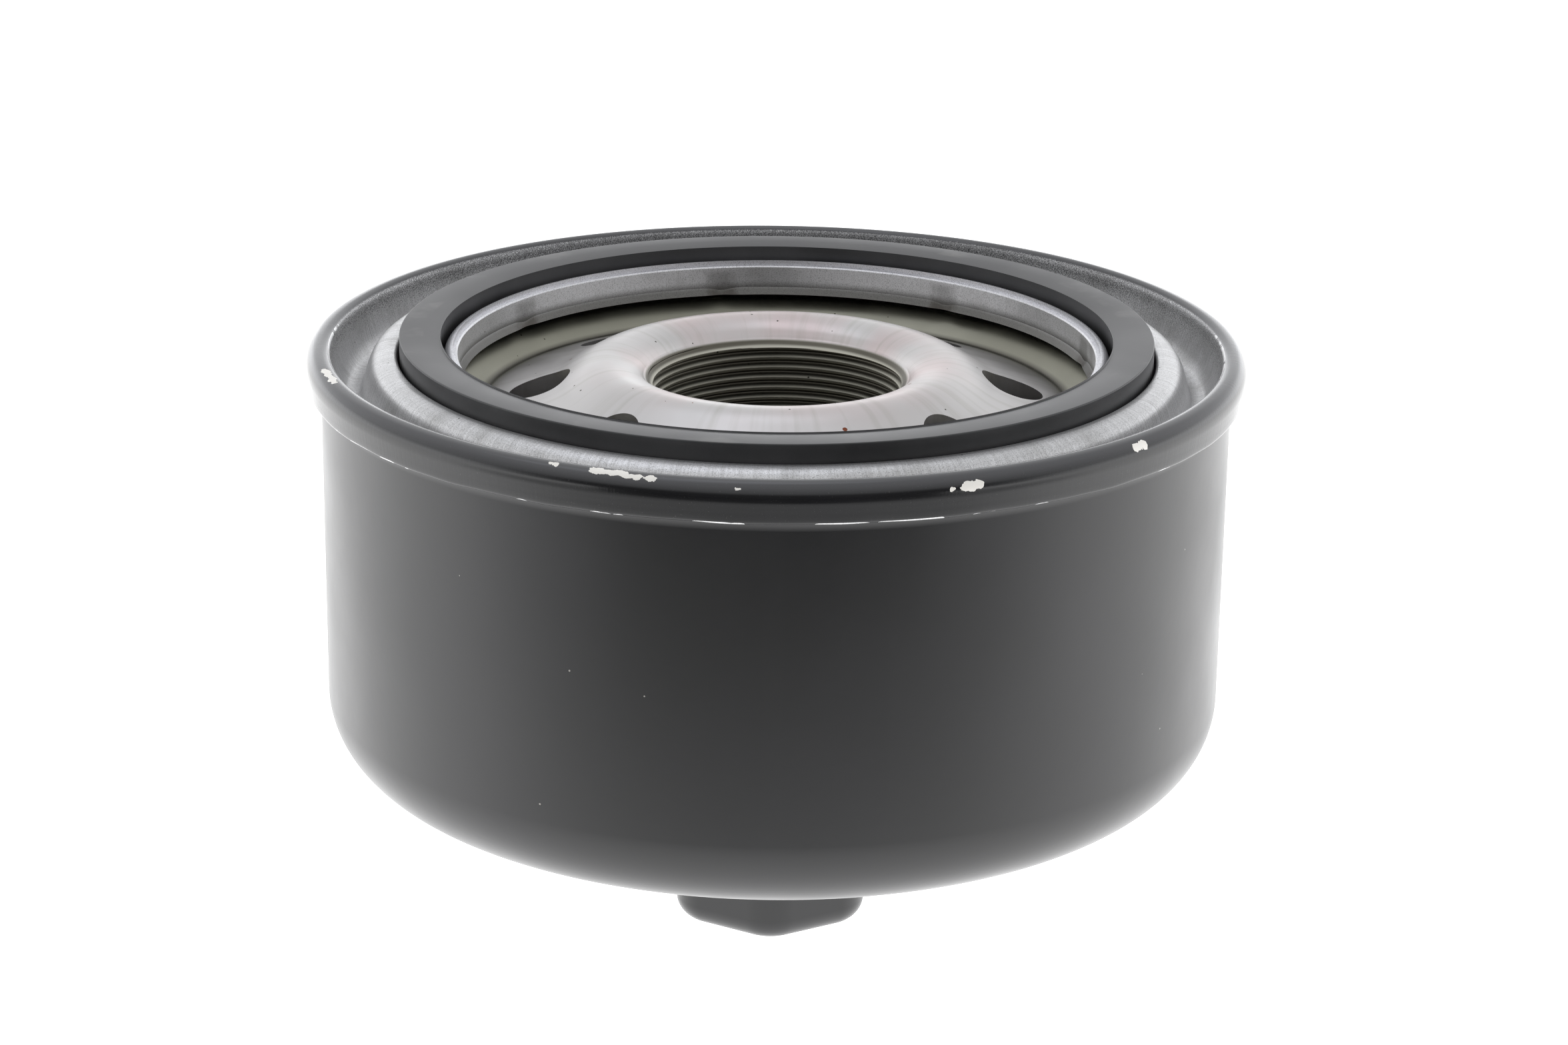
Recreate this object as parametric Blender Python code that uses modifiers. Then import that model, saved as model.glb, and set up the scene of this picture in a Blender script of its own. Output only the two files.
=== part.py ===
"""Spin-on oil filter with a drawn steel can, a hexagon on its end and a pleated element inside.

Every solid is built about the Z axis, with the hexagon's end face on the ground plane. Outlines
are lists of (radius, depth) in millimetres, where depth runs down from the gasket's sealing face.
"""

import math

import bmesh
import bpy
from mathutils import Matrix, Vector

MM = 0.001

# ---------------------------------------------------------------------------
# Driving sizes, in millimetres unless a name says otherwise
# ---------------------------------------------------------------------------

GAP = 0.3                   # clearance kept between neighbouring solids
BORE_FIT = 0.3              # radial clearance of a piece that slides in or over another

# Can: deep-drawn shell with a crowned bottom and a hexagon for a spanner
BODY_RADIUS = 63.0
BODY_SHEET = 0.8
CAN_DEPTH = 61.9            # sealing face down to where the corner arc would turn level
BOTTOM_CORNER = 11.3
CROWN = 4.0                 # how far the bottom bulges below the corner
HEX_ACROSS = 27.0
HEX_CORNER = 6.5            # rounding of the hexagon's upright edges
HEX_LENGTH = 20.6           # crown down to the hexagon's end face
HEX_END_EDGE = 3.2          # rounding of the hexagon's lower edges

# Rolled seam that locks the lid over the can's rim
SEAM_PROUD = 2.03           # beyond the body's radius
SEAM_TOP = 1.2
SEAM_HEIGHT = 5.4
SEALANT_THICKNESS = 0.6

# Seaming lid: valley, ridge, gasket groove and inner ring
LID_SHEET = 0.7
VALLEY_DEPTH = 8.3
VALLEY_WIDTH = 1.5
VALLEY_OUTER_SLOPE = 1.9    # reach of the valley's outer side, from the chuck wall
VALLEY_INNER_SLOPE = 1.4    # reach of its inner side, up to the ridge
RIDGE_WIDTH = 3.9
RIDGE_TOP = 2.4
GROOVE_DEPTH = 6.0
RING_WIDTH = 2.7
RING_TOP = 1.9
HEM_LENGTH = 4.9            # ring top down to the lid's free edge

# Sealing gasket, square in section
GASKET_WIDTH = 5.7

# Tapping plate: thick pressing with a threaded neck and a ring of inlet holes
PLATE_THICKNESS = 4.0
PLATE_MARGIN = 2.8          # plate rim beyond the gasket
WELD_GAP = 1.1              # between lid and plate, filled at the welds
PLATE_LEDGE = 1.0           # flat that reaches in from under the lid's groove
CREASE_INSET = 2.3          # inside the lid's ring
CREASE_DROP = 2.7           # below the plate's rim
HOLE_PLACE = 0.4            # hole circle, as a share of the way from crest foot to crease
HOLE_SAG = 0.78             # hole circle below the straight line between those two
HOLE_RADIUS = 4.3
HOLE_COUNT = 8
HOLE_PHASE = -88.1          # degrees
CREST_RISE = 3.8            # above the plate's rim
CREST_WIDTH = 5.0           # mouth of the bore out to the crest's highest circle
CREST_FOOT = 4.0            # highest circle out to the crest's foot
CREST_FOOT_DROP = 1.2
MOUTH_CLEARANCE = 0.5       # mouth beyond the thread's major radius
LEAD_IN = 3.4               # crest down to the first full turn of thread
THREAD_MAJOR = 36.0
THREAD_PITCH = 1.5
NECK_WALL = 3.5
THREAD_LENGTH = 15.2

# Welds that hold the lid to the plate
WELD_COUNT = 8
WELD_RADIUS = 2.5
WELD_PHASE = 101.0          # degrees

# Anti-drain valve: rubber diaphragm round the neck
VALVE_RUBBER = 1.4
COLLAR_WALL = 3.0
COLLAR_LENGTH = 6.5
COLLAR_RISE = 1.2           # collar's top above the lip's seat
DISC_DROP = 1.3             # disc below the lip's seat
VALVE_TRAVEL = 1.2
LIP_OVERHANG = 1.3          # lip beyond the plate's crease

# Filter element
CAP_SHEET = 0.8
CAP_RIM = 4.2               # length of each end cap's turned rim
OIL_CHANNEL = 6.2           # between the can's wall and the element
POTTING = 1.5
TUBE_WALL = 0.8
TUBE_LEDGE = 0.5            # tube's bore beyond the top cap's flange
TUBE_HOLE_RADIUS = 2.6
TUBE_HOLE_ROWS = 2
TUBE_HOLES_PER_ROW = 12
PLEATS = 40
PAPER = 0.6
PLEAT_FOLD = 0.7            # gap inside each fold
PLEAT_CLEARANCE = 0.4       # paper beyond the potting's bore
FLOAT_TRAVEL = 1.5

# Support spring: star-shaped leaf between the can's floor and the element
LEAF_SHEET = 0.9
LEAF_PRESSED_HEIGHT = 4.9   # when the element is pushed fully down
LEAF_HUB_MARGIN = 4.0       # hub's bore beyond the cap's port
LEAF_HUB_WIDTH = 7.0
LEAF_FOOT_INSET = 7.7       # feet inside the can's corner
LEAF_FOOT_WIDTH = 3.0
LEAF_LEDGE = 1.0            # hub metal left outside the bend, between the legs
LEAF_LEGS = 4

# Bypass valve in the element's lower end
PORT_RADIUS = 8.5
PORT_MARGIN = 4.5           # cap's port beyond the seat's
SEAT_SHEET = 0.8
SEAT_LIP = 1.0
SEAL_THICKNESS = 1.0
POPPET_OVERLAP = 3.5        # poppet beyond the port
POPPET_THICKNESS = 1.2
SPIGOT_CLEARANCE = 2.5      # spigot inside the port
STEM_RADIUS = 3.0
STEM_PROUD = 1.0            # stem above the cage
POPPET_LIFT = 4.0
VALVE_SPRING_INSET = 3.5    # wire's centre inside the poppet's rim
VALVE_SPRING_WIRE = 1.4
VALVE_SPRING_TURNS = 4.5
VALVE_SPRING_SPARE = 0.8    # left between the coils when the valve is fully open
CAGE_CLEARANCE = 4.0        # for the oil, between poppet and cage
CAGE_SHEET = 0.8
CAGE_FLANGE = 4.0
CAGE_WINDOWS = 4

# Facets round each turned piece
LARGE_STEPS = 40
MEDIUM_STEPS = 32
SMALL_STEPS = 24
THREAD_STEPS = 16

# ---------------------------------------------------------------------------
# Sizes that follow from the driving ones
# ---------------------------------------------------------------------------

CORNER_CENTRE = BODY_RADIUS - BOTTOM_CORNER
CORNER_DEPTH = CAN_DEPTH - BOTTOM_CORNER
CROWN_SLOPE = 2.0 * math.atan(CROWN / CORNER_CENTRE)
CROWN_START = CORNER_CENTRE + BOTTOM_CORNER * math.sin(CROWN_SLOPE)
CROWN_START_DEPTH = CORNER_DEPTH + BOTTOM_CORNER * math.cos(CROWN_SLOPE)
CROWN_SPHERE = CROWN_START / math.sin(CROWN_SLOPE)
CROWN_SPHERE_DEPTH = CROWN_START_DEPTH - CROWN_SPHERE * math.cos(CROWN_SLOPE)
APEX_DEPTH = CROWN_SPHERE_DEPTH + CROWN_SPHERE
FACE_HEIGHT = APEX_DEPTH + HEX_LENGTH

SEAM_RADIUS = BODY_RADIUS + SEAM_PROUD
SEAM_BOTTOM = SEAM_TOP + SEAM_HEIGHT
CHUCK_RADIUS = BODY_RADIUS - BODY_SHEET - GAP - LID_SHEET
RIM_RADIUS = SEAM_RADIUS - LID_SHEET - GAP
SEALANT_TOP = SEAM_TOP + LID_SHEET + GAP
RIM_TOP = SEALANT_TOP + SEALANT_THICKNESS + GAP
RIM_BOTTOM = SEAM_BOTTOM - LID_SHEET - GAP

VALLEY_OUTER = CHUCK_RADIUS - VALLEY_OUTER_SLOPE
VALLEY_INNER = VALLEY_OUTER - VALLEY_WIDTH
RIDGE_OUTER = VALLEY_INNER - VALLEY_INNER_SLOPE
RIDGE_INNER = RIDGE_OUTER - RIDGE_WIDTH
GASKET_OUTER = RIDGE_INNER - GAP
GASKET_INNER = GASKET_OUTER - GASKET_WIDTH
RING_OUTER = GASKET_INNER - GAP
RING_INNER = RING_OUTER - RING_WIDTH
GASKET_DEPTH = GROOVE_DEPTH - GAP

PLATE_TOP = GROOVE_DEPTH + LID_SHEET + WELD_GAP
PLATE_RADIUS = GASKET_OUTER + PLATE_MARGIN
CREASE_RADIUS = RING_INNER - CREASE_INSET
CREASE_DEPTH = PLATE_TOP + CREASE_DROP
CREST_DEPTH = PLATE_TOP - CREST_RISE
THREAD_MAJOR_RADIUS = THREAD_MAJOR / 2.0
THREAD_MINOR_RADIUS = THREAD_MAJOR_RADIUS - 0.5413 * THREAD_PITCH
MOUTH_RADIUS = THREAD_MAJOR_RADIUS + MOUTH_CLEARANCE
CREST_RADIUS = MOUTH_RADIUS + CREST_WIDTH
FOOT_RADIUS = CREST_RADIUS + CREST_FOOT
FOOT_TOP = CREST_DEPTH + CREST_FOOT_DROP
HOLE_CIRCLE = FOOT_RADIUS + HOLE_PLACE * (CREASE_RADIUS - FOOT_RADIUS)
HOLE_CIRCLE_DEPTH = FOOT_TOP + HOLE_PLACE * (CREASE_DEPTH - FOOT_TOP) + HOLE_SAG
THREAD_START = CREST_DEPTH + LEAD_IN
NECK_RADIUS = THREAD_MAJOR_RADIUS + NECK_WALL
NECK_END = THREAD_START + THREAD_LENGTH
WELD_CIRCLE = (GASKET_INNER + GASKET_OUTER) / 2.0

OUTER_SLOPE = math.atan2(CREASE_DROP, RING_OUTER - PLATE_LEDGE - CREASE_RADIUS)
INNER_SLOPE = math.atan2(CREASE_DEPTH - HOLE_CIRCLE_DEPTH, CREASE_RADIUS - HOLE_CIRCLE)
CREASE_MITRE = PLATE_THICKNESS / math.cos((OUTER_SLOPE + INNER_SLOPE) / 2.0)
CREASE_UNDERSIDE = CREASE_DEPTH + CREASE_MITRE * math.cos((OUTER_SLOPE - INNER_SLOPE) / 2.0)
LIP_DEPTH = CREASE_UNDERSIDE + GAP
COLLAR_TOP = LIP_DEPTH - COLLAR_RISE
COLLAR_END = COLLAR_TOP + COLLAR_LENGTH
COLLAR_INNER = NECK_RADIUS + BORE_FIT
COLLAR_OUTER = COLLAR_INNER + COLLAR_WALL
DISC_TOP = LIP_DEPTH + DISC_DROP
DISC_BOTTOM = DISC_TOP + VALVE_RUBBER

ELEMENT_RADIUS = BODY_RADIUS - BODY_SHEET - OIL_CHANNEL
FLANGE_INNER = COLLAR_OUTER + 2.0 * BORE_FIT
FLANGE_TOP = DISC_BOTTOM + VALVE_TRAVEL + GAP
TOP_CAP_DEPTH = COLLAR_END + VALVE_TRAVEL + GAP
TUBE_INNER = FLANGE_INNER + CAP_SHEET + TUBE_LEDGE
TUBE_OUTER = TUBE_INNER + TUBE_WALL
TUBE_TOP = TOP_CAP_DEPTH + CAP_SHEET + GAP
POTTING_INNER = TUBE_OUTER + GAP
POTTING_OUTER = ELEMENT_RADIUS - CAP_SHEET - GAP
LEAF_FOOT_RADIUS = CORNER_CENTRE - LEAF_FOOT_INSET
CROWN_AT_FEET = CROWN_SPHERE_DEPTH + math.sqrt(CROWN_SPHERE**2 - LEAF_FOOT_RADIUS**2)
FOOT_DEPTH = CROWN_AT_FEET - BODY_SHEET - GAP
LEAF_HEIGHT = LEAF_PRESSED_HEIGHT + FLOAT_TRAVEL
BOTTOM_CAP_DEPTH = FOOT_DEPTH - LEAF_HEIGHT - GAP
TUBE_BOTTOM = BOTTOM_CAP_DEPTH - CAP_SHEET - GAP
MEDIA_INNER = POTTING_INNER + PLEAT_CLEARANCE
MEDIA_OUTER = POTTING_OUTER - PLEAT_CLEARANCE / 2.0
MEDIA_TOP = TUBE_TOP + POTTING + GAP
MEDIA_BOTTOM = TUBE_BOTTOM - POTTING - GAP

SEAT_BOTTOM = BOTTOM_CAP_DEPTH - CAP_SHEET - GAP
SEAT_TOP = SEAT_BOTTOM - SEAT_SHEET
LIP_TOP = SEAT_TOP - SEAT_LIP
SEAL_BOTTOM = LIP_TOP - GAP
SEAL_TOP = SEAL_BOTTOM - SEAL_THICKNESS
POPPET_BOTTOM = SEAL_TOP - GAP
POPPET_TOP = POPPET_BOTTOM - POPPET_THICKNESS
VALVE_SPRING_BOTTOM = POPPET_TOP - GAP
VALVE_SPRING_SOLID = VALVE_SPRING_WIRE * (VALVE_SPRING_TURNS + 1.0)
VALVE_SPRING_LENGTH = VALVE_SPRING_SOLID + VALVE_SPRING_SPARE + POPPET_LIFT
CAGE_UNDERSIDE = VALVE_SPRING_BOTTOM - VALVE_SPRING_LENGTH - GAP
CAGE_TOP = CAGE_UNDERSIDE - CAGE_SHEET
CAGE_FLANGE_BOTTOM = SEAT_TOP - GAP
CAP_PORT_RADIUS = PORT_RADIUS + PORT_MARGIN
LEAF_HUB_RADIUS = CAP_PORT_RADIUS + LEAF_HUB_MARGIN
POPPET_RADIUS = PORT_RADIUS + POPPET_OVERLAP
SPIGOT_RADIUS = PORT_RADIUS - SPIGOT_CLEARANCE
VALVE_SPRING_RADIUS = POPPET_RADIUS - VALVE_SPRING_INSET
CAGE_RADIUS = POPPET_RADIUS + CAGE_CLEARANCE
SEAT_FLANGE = CAGE_RADIUS + CAGE_FLANGE


def shared_collection(name):
    """A new collection in the scene."""
    collection = bpy.data.collections.new(name)
    bpy.context.scene.collection.children.link(collection)
    return collection


def clear_scene():
    for obj in list(bpy.data.objects):
        bpy.data.objects.remove(obj, do_unlink=True)


def finish(name, colour, roughness, metallic):
    """A Principled material with one colour."""
    material = bpy.data.materials.new(name)
    material.use_nodes = True
    shader = material.node_tree.nodes["Principled BSDF"]
    shader.inputs["Base Color"].default_value = (*colour, 1.0)
    shader.inputs["Roughness"].default_value = roughness
    shader.inputs["Metallic"].default_value = metallic
    material.diffuse_color = (*colour, 1.0)
    return material


clear_scene()
PARTS = shared_collection("oil_filter")
CUTTERS = shared_collection("cutters")

BLACK_PAINT = finish("satin_black_paint", (0.012, 0.012, 0.013), 0.35, 0.0)
PLATED_STEEL = finish("zinc_plated_steel", (0.60, 0.60, 0.58), 0.38, 1.0)
GREY_STEEL = finish("phosphated_steel", (0.40, 0.39, 0.37), 0.45, 1.0)
SPRING_STEEL = finish("spring_steel", (0.32, 0.32, 0.33), 0.35, 1.0)
BLACK_RUBBER = finish("nitrile_rubber", (0.035, 0.035, 0.037), 0.65, 0.0)
FILTER_PAPER = finish("filter_paper", (0.70, 0.52, 0.25), 0.90, 0.0)
POTTING_RESIN = finish("potting_resin", (0.50, 0.10, 0.06), 0.60, 0.0)
SEALANT = finish("seam_sealant", (0.55, 0.50, 0.42), 0.70, 0.0)
NYLON = finish("glass_filled_nylon", (0.05, 0.05, 0.055), 0.50, 0.0)


# ---------------------------------------------------------------------------
# Shape helpers
# ---------------------------------------------------------------------------


def at(radius, depth):
    """The point at a radius on +X and a depth below the sealing face, in metres."""
    return Vector((radius * MM, 0.0, (FACE_HEIGHT - depth) * MM))


def place(name, mesh, material=None):
    """A named object in the parts collection or, with no material, a hidden cutter."""
    obj = bpy.data.objects.new(name, mesh)
    if material is None:
        CUTTERS.objects.link(obj)
        obj.hide_render = True
        obj.display_type = "WIRE"
        return obj
    mesh.materials.clear()
    mesh.materials.append(material)
    PARTS.objects.link(obj)
    return obj


def evaluated_mesh(obj):
    """The object's mesh with its modifiers or its curve settings applied, caps welded."""
    bpy.context.view_layer.update()
    graph = bpy.context.evaluated_depsgraph_get()
    mesh = bpy.data.meshes.new_from_object(obj.evaluated_get(graph))
    cage = bmesh.new()
    cage.from_mesh(mesh)
    bmesh.ops.remove_doubles(cage, verts=cage.verts, dist=1e-7)
    open_edges = [edge for edge in cage.edges if edge.is_boundary]
    if open_edges:
        bmesh.ops.holes_fill(cage, edges=open_edges, sides=0)
    bmesh.ops.recalc_face_normals(cage, faces=cage.faces)
    cage.to_mesh(mesh)
    cage.free()
    bpy.data.objects.remove(obj, do_unlink=True)
    mesh.shade_smooth()
    mesh.set_sharp_from_angle(angle=math.radians(30.0))
    return mesh


def swept(outline, steps, rise=0.0, turns=1.0):
    """The mesh that a closed (radius, depth) outline makes when a Screw turns it about Z."""
    corners = [at(radius, depth) for radius, depth in outline]
    on_axis = outline[0][0] == 0.0 and outline[-1][0] == 0.0
    last = len(corners) - 1 if on_axis else len(corners)
    edges = [(i, (i + 1) % len(corners)) for i in range(last)]
    profile = bpy.data.meshes.new("profile")
    profile.from_pydata(corners, edges, [])
    obj = place("profile", profile)
    screw = obj.modifiers.new("turn", "SCREW")
    screw.axis = "Z"
    screw.steps = steps
    screw.render_steps = steps
    screw.use_merge_vertices = rise == 0.0
    screw.merge_threshold = 1e-6
    if rise:
        screw.screw_offset = rise * MM
        screw.iterations = math.ceil(turns)
    return evaluated_mesh(obj)


def turned(name, outline, material=None, steps=LARGE_STEPS):
    """A solid of revolution; a piece that touches the axis starts and ends its outline on it."""
    return place(name, swept(outline, steps), material)


def sheet(path, thickness):
    """The closed outline of sheet metal whose surface follows path, with the metal on its left."""
    normals = []
    for (r0, d0), (r1, d1) in zip(path, path[1:]):
        length = math.hypot(r1 - r0, d1 - d0)
        normals.append(Vector(((d1 - d0) / length, (r0 - r1) / length)))
    before = [normals[0], *normals]
    after = [*normals, normals[-1]]
    far_side = []
    for (radius, depth), first, second in zip(path, before, after):
        step = (first + second) * (thickness / (1.0 + first.dot(second)))
        far_side.append((radius + step.x, depth + step.y))
    return list(path) + far_side[::-1]


def arc(centre, radius, start, end, count):
    """Points on an arc in a (radius, depth) outline, angles from outward round to downward."""
    angles = [start + (end - start) * i / count for i in range(count + 1)]
    return [(centre[0] + radius * math.cos(a), centre[1] + radius * math.sin(a)) for a in angles]


def boolean(obj, cutter, operation="DIFFERENCE"):
    modifier = obj.modifiers.new(cutter.name, "BOOLEAN")
    modifier.operation = operation
    modifier.solver = "EXACT"
    modifier.object = cutter


def hex_bar(name, across, corner, top, bottom, edge):
    """A hexagonal bar about Z as a cutter, flats facing X, with rounded upright and lower edges."""
    cage = bmesh.new()
    reach = (across / 2.0 - corner) / math.cos(math.pi / 6.0)
    ring = []
    for turn in around(6, math.pi / 6.0):
        for lean in (-math.pi / 6.0, -math.pi / 12.0, 0.0, math.pi / 12.0, math.pi / 6.0):
            centre = polar(reach, turn, bottom)
            ring.append(cage.verts.new(centre + polar(corner, turn + lean, FACE_HEIGHT)))
    end_face = cage.faces.new(ring)
    grown = bmesh.ops.extrude_face_region(cage, geom=[end_face])["geom"]
    upper = [v for v in grown if isinstance(v, bmesh.types.BMVert)]
    bmesh.ops.translate(cage, verts=upper, vec=(0.0, 0.0, (bottom - top) * MM))
    bmesh.ops.recalc_face_normals(cage, faces=cage.faces)
    lower = [e for e in cage.edges if max(v.co.z for v in e.verts) < at(0.0, bottom - 0.1).z]
    bmesh.ops.bevel(cage, geom=lower, offset=edge * MM, segments=3, profile=0.5, affect="EDGES")
    mesh = bpy.data.meshes.new(name)
    cage.to_mesh(mesh)
    cage.free()
    return place(name, mesh)


def studs(name, radius, sides, places, length, material=None):
    """Separate round bars in one object, each given by its middle and its direction."""
    cage = bmesh.new()
    for middle, direction in places:
        turn = direction.to_track_quat("Z", "Y").to_matrix().to_4x4()
        bmesh.ops.create_cone(
            cage,
            cap_ends=True,
            segments=sides,
            radius1=radius * MM,
            radius2=radius * MM,
            depth=length * MM,
            matrix=Matrix.Translation(middle) @ turn,
        )
    mesh = bpy.data.meshes.new(name)
    cage.to_mesh(mesh)
    cage.free()
    return place(name, mesh, material)


def around(count, phase=0.0):
    """Angles of count places spaced evenly round the axis, starting at phase."""
    return [phase + math.tau * i / count for i in range(count)]


def polar(radius, angle, depth):
    """A point at a radius, an angle about Z and a depth, in metres."""
    return Matrix.Rotation(angle, 3, "Z") @ at(radius, depth)


def crown_depth(radius, inset=0.0):
    """Depth of the crowned bottom at a radius, or of a surface inset above it."""
    return CROWN_SPHERE_DEPTH + math.sqrt((CROWN_SPHERE - inset) ** 2 - radius**2)


# ---------------------------------------------------------------------------
# Casing
# ---------------------------------------------------------------------------


def can_outline(inset):
    """Wall, corner and crown of the can from wall to axis, set in by the sheet's thickness."""
    corner = arc(
        (CORNER_CENTRE, CORNER_DEPTH),
        BOTTOM_CORNER - inset,
        0.0,
        math.pi / 2.0 - CROWN_SLOPE,
        5,
    )
    start = corner[-1][0]
    crown = [(start * share, crown_depth(start * share, inset)) for share in (0.78, 0.55, 0.3, 0.0)]
    return corner + crown


def make_can():
    """Can with its folded rim and the hexagon drawn out of the crown."""
    rim = [
        (0.0, RIM_TOP),
        (RIM_RADIUS, RIM_TOP),
        (RIM_RADIUS, RIM_BOTTOM),
        (BODY_RADIUS, RIM_BOTTOM),
    ]
    can = turned("can", rim + can_outline(0.0), BLACK_PAINT)
    end = FACE_HEIGHT
    nose = hex_bar("hex_nose", HEX_ACROSS, HEX_CORNER, APEX_DEPTH - 3.0, end, HEX_END_EDGE)
    hollow_top = [(0.0, RIM_TOP - 1.0), (BODY_RADIUS - BODY_SHEET, RIM_TOP - 1.0)]
    hollow = turned("can_hollow", hollow_top + can_outline(BODY_SHEET))
    pocket = hex_bar(
        "hex_pocket",
        HEX_ACROSS - 2.0 * BODY_SHEET,
        HEX_CORNER - BODY_SHEET,
        APEX_DEPTH - 2.5,
        end - BODY_SHEET,
        HEX_END_EDGE - BODY_SHEET,
    )
    boolean(can, nose, "UNION")
    boolean(can, hollow)
    boolean(can, pocket)


def make_seaming_lid():
    """Lid: hook under the can's rim, over the seam, valley, ridge, groove, ring and free hem."""
    path = [
        (BODY_RADIUS + GAP, SEAM_BOTTOM),
        (SEAM_RADIUS - 0.6, SEAM_BOTTOM),
        (SEAM_RADIUS, SEAM_BOTTOM - 0.9),
        (SEAM_RADIUS, SEAM_TOP + 1.6),
        (SEAM_RADIUS - 1.2, SEAM_TOP),
        (CHUCK_RADIUS + 0.9, SEAM_TOP),
        (CHUCK_RADIUS, SEAM_TOP + 0.9),
        (CHUCK_RADIUS - 0.6, VALLEY_DEPTH - 1.5),
        (VALLEY_OUTER, VALLEY_DEPTH),
        (VALLEY_INNER, VALLEY_DEPTH),
        (RIDGE_OUTER, RIDGE_TOP + 1.6),
        (RIDGE_OUTER - 1.1, RIDGE_TOP + 0.4),
        (RIDGE_INNER + 0.6, RIDGE_TOP),
        (RIDGE_INNER, RIDGE_TOP + 0.5),
        (RIDGE_INNER, GROOVE_DEPTH),
        (RING_OUTER, GROOVE_DEPTH),
        (RING_OUTER, RING_TOP + 0.6),
        (RING_OUTER - 0.6, RING_TOP),
        (RING_INNER + 0.6, RING_TOP),
        (RING_INNER, RING_TOP + 0.6),
        (RING_INNER, RING_TOP + HEM_LENGTH),
    ]
    turned("seaming_lid", sheet(path, LID_SHEET), PLATED_STEEL)


def make_seam_sealant():
    """Ring of sealing compound squeezed between the can's rim and the lid."""
    inner = BODY_RADIUS - BODY_SHEET + 0.2
    outer = RIM_RADIUS - LID_SHEET
    bottom = SEALANT_TOP + SEALANT_THICKNESS
    ring = [(outer, SEALANT_TOP), (outer, bottom), (inner, bottom), (inner, SEALANT_TOP)]
    turned("seam_sealant", ring, SEALANT)


def make_gasket():
    ring = [
        (GASKET_OUTER, 0.0),
        (GASKET_OUTER, GASKET_DEPTH),
        (GASKET_INNER, GASKET_DEPTH),
        (GASKET_INNER, 0.0),
    ]
    turned("sealing_gasket", ring, BLACK_RUBBER)


def make_thread_cutter():
    """Helical V groove at the thread's major diameter, overshooting both ends of the bore."""
    inner = THREAD_MINOR_RADIUS - 0.25
    flat = THREAD_PITCH / 16.0
    half = flat + (THREAD_MAJOR_RADIUS - inner) * math.tan(math.pi / 6.0)
    turns = math.ceil((THREAD_LENGTH + 2.0) / THREAD_PITCH) + 1
    start = THREAD_START - 1.0 + turns * THREAD_PITCH
    groove = [
        (THREAD_MAJOR_RADIUS, start - flat),
        (THREAD_MAJOR_RADIUS, start + flat),
        (inner, start + half),
        (inner, start - half),
    ]
    return place("thread_groove", swept(groove, THREAD_STEPS, THREAD_PITCH, turns))


def make_tapping_plate():
    """Plate with its inlet holes, rounded crest and threaded neck turned down into the can."""
    face = [
        (PLATE_RADIUS, PLATE_TOP),
        (RING_OUTER - PLATE_LEDGE, PLATE_TOP),
        (CREASE_RADIUS, CREASE_DEPTH),
        (HOLE_CIRCLE, HOLE_CIRCLE_DEPTH),
        (FOOT_RADIUS, FOOT_TOP),
        (CREST_RADIUS + 1.8, CREST_DEPTH + 0.3),
    ]
    underside = sheet(face, PLATE_THICKNESS)[len(face):]
    neck = [
        (CREST_RADIUS, CREST_DEPTH),
        (CREST_RADIUS - 2.0, CREST_DEPTH + 0.4),
        (MOUTH_RADIUS + 1.2, CREST_DEPTH + 1.1),
        (MOUTH_RADIUS, CREST_DEPTH + 2.3),
        (THREAD_MINOR_RADIUS, THREAD_START),
        (THREAD_MINOR_RADIUS, NECK_END - 0.9),
        (THREAD_MAJOR_RADIUS + 0.1, NECK_END),
        (NECK_RADIUS, NECK_END),
        (NECK_RADIUS, CREST_DEPTH + PLATE_THICKNESS + 3.0),
    ]
    plate = turned("tapping_plate", face + neck + underside, GREY_STEEL)
    middle = HOLE_CIRCLE_DEPTH + PLATE_THICKNESS / 2.0
    up = Vector((0.0, 0.0, 1.0))
    spots = around(HOLE_COUNT, math.radians(HOLE_PHASE))
    places = [(polar(HOLE_CIRCLE, angle, middle), up) for angle in spots]
    boolean(plate, studs("inlet_holes", HOLE_RADIUS, 20, places, PLATE_THICKNESS * 4.0))
    boolean(plate, make_thread_cutter())


def make_welds():
    """Weld nuggets between the lid's groove and the plate."""
    top = GROOVE_DEPTH + LID_SHEET + GAP
    bottom = PLATE_TOP - GAP
    up = Vector((0.0, 0.0, 1.0))
    for number, angle in enumerate(around(WELD_COUNT, math.radians(WELD_PHASE)), start=1):
        middle = polar(WELD_CIRCLE, angle, (top + bottom) / 2.0)
        studs(f"weld_{number}", WELD_RADIUS, 12, [(middle, up)], bottom - top, GREY_STEEL)


# ---------------------------------------------------------------------------
# Anti-drain valve and filter element
# ---------------------------------------------------------------------------


def make_drain_valve():
    """Rubber diaphragm: collar round the neck, flat disc and a lip that meets the plate's crease."""
    lip = CREASE_RADIUS + LIP_OVERHANG
    outline = [
        (COLLAR_OUTER - 0.4, COLLAR_TOP),
        (COLLAR_OUTER + 0.5, DISC_TOP),
        (CREASE_RADIUS - 3.5, DISC_TOP),
        (CREASE_RADIUS - 0.6, LIP_DEPTH),
        (CREASE_RADIUS + 0.2, LIP_DEPTH),
        (lip, LIP_DEPTH + 0.5),
        (lip, LIP_DEPTH + 1.3),
        (CREASE_RADIUS - 3.2, DISC_BOTTOM),
        (COLLAR_OUTER, DISC_BOTTOM),
        (COLLAR_OUTER, COLLAR_END),
        (COLLAR_INNER, COLLAR_END),
        (COLLAR_INNER, COLLAR_TOP),
    ]
    turned("anti_drain_valve", outline, BLACK_RUBBER, MEDIUM_STEPS)


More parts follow.
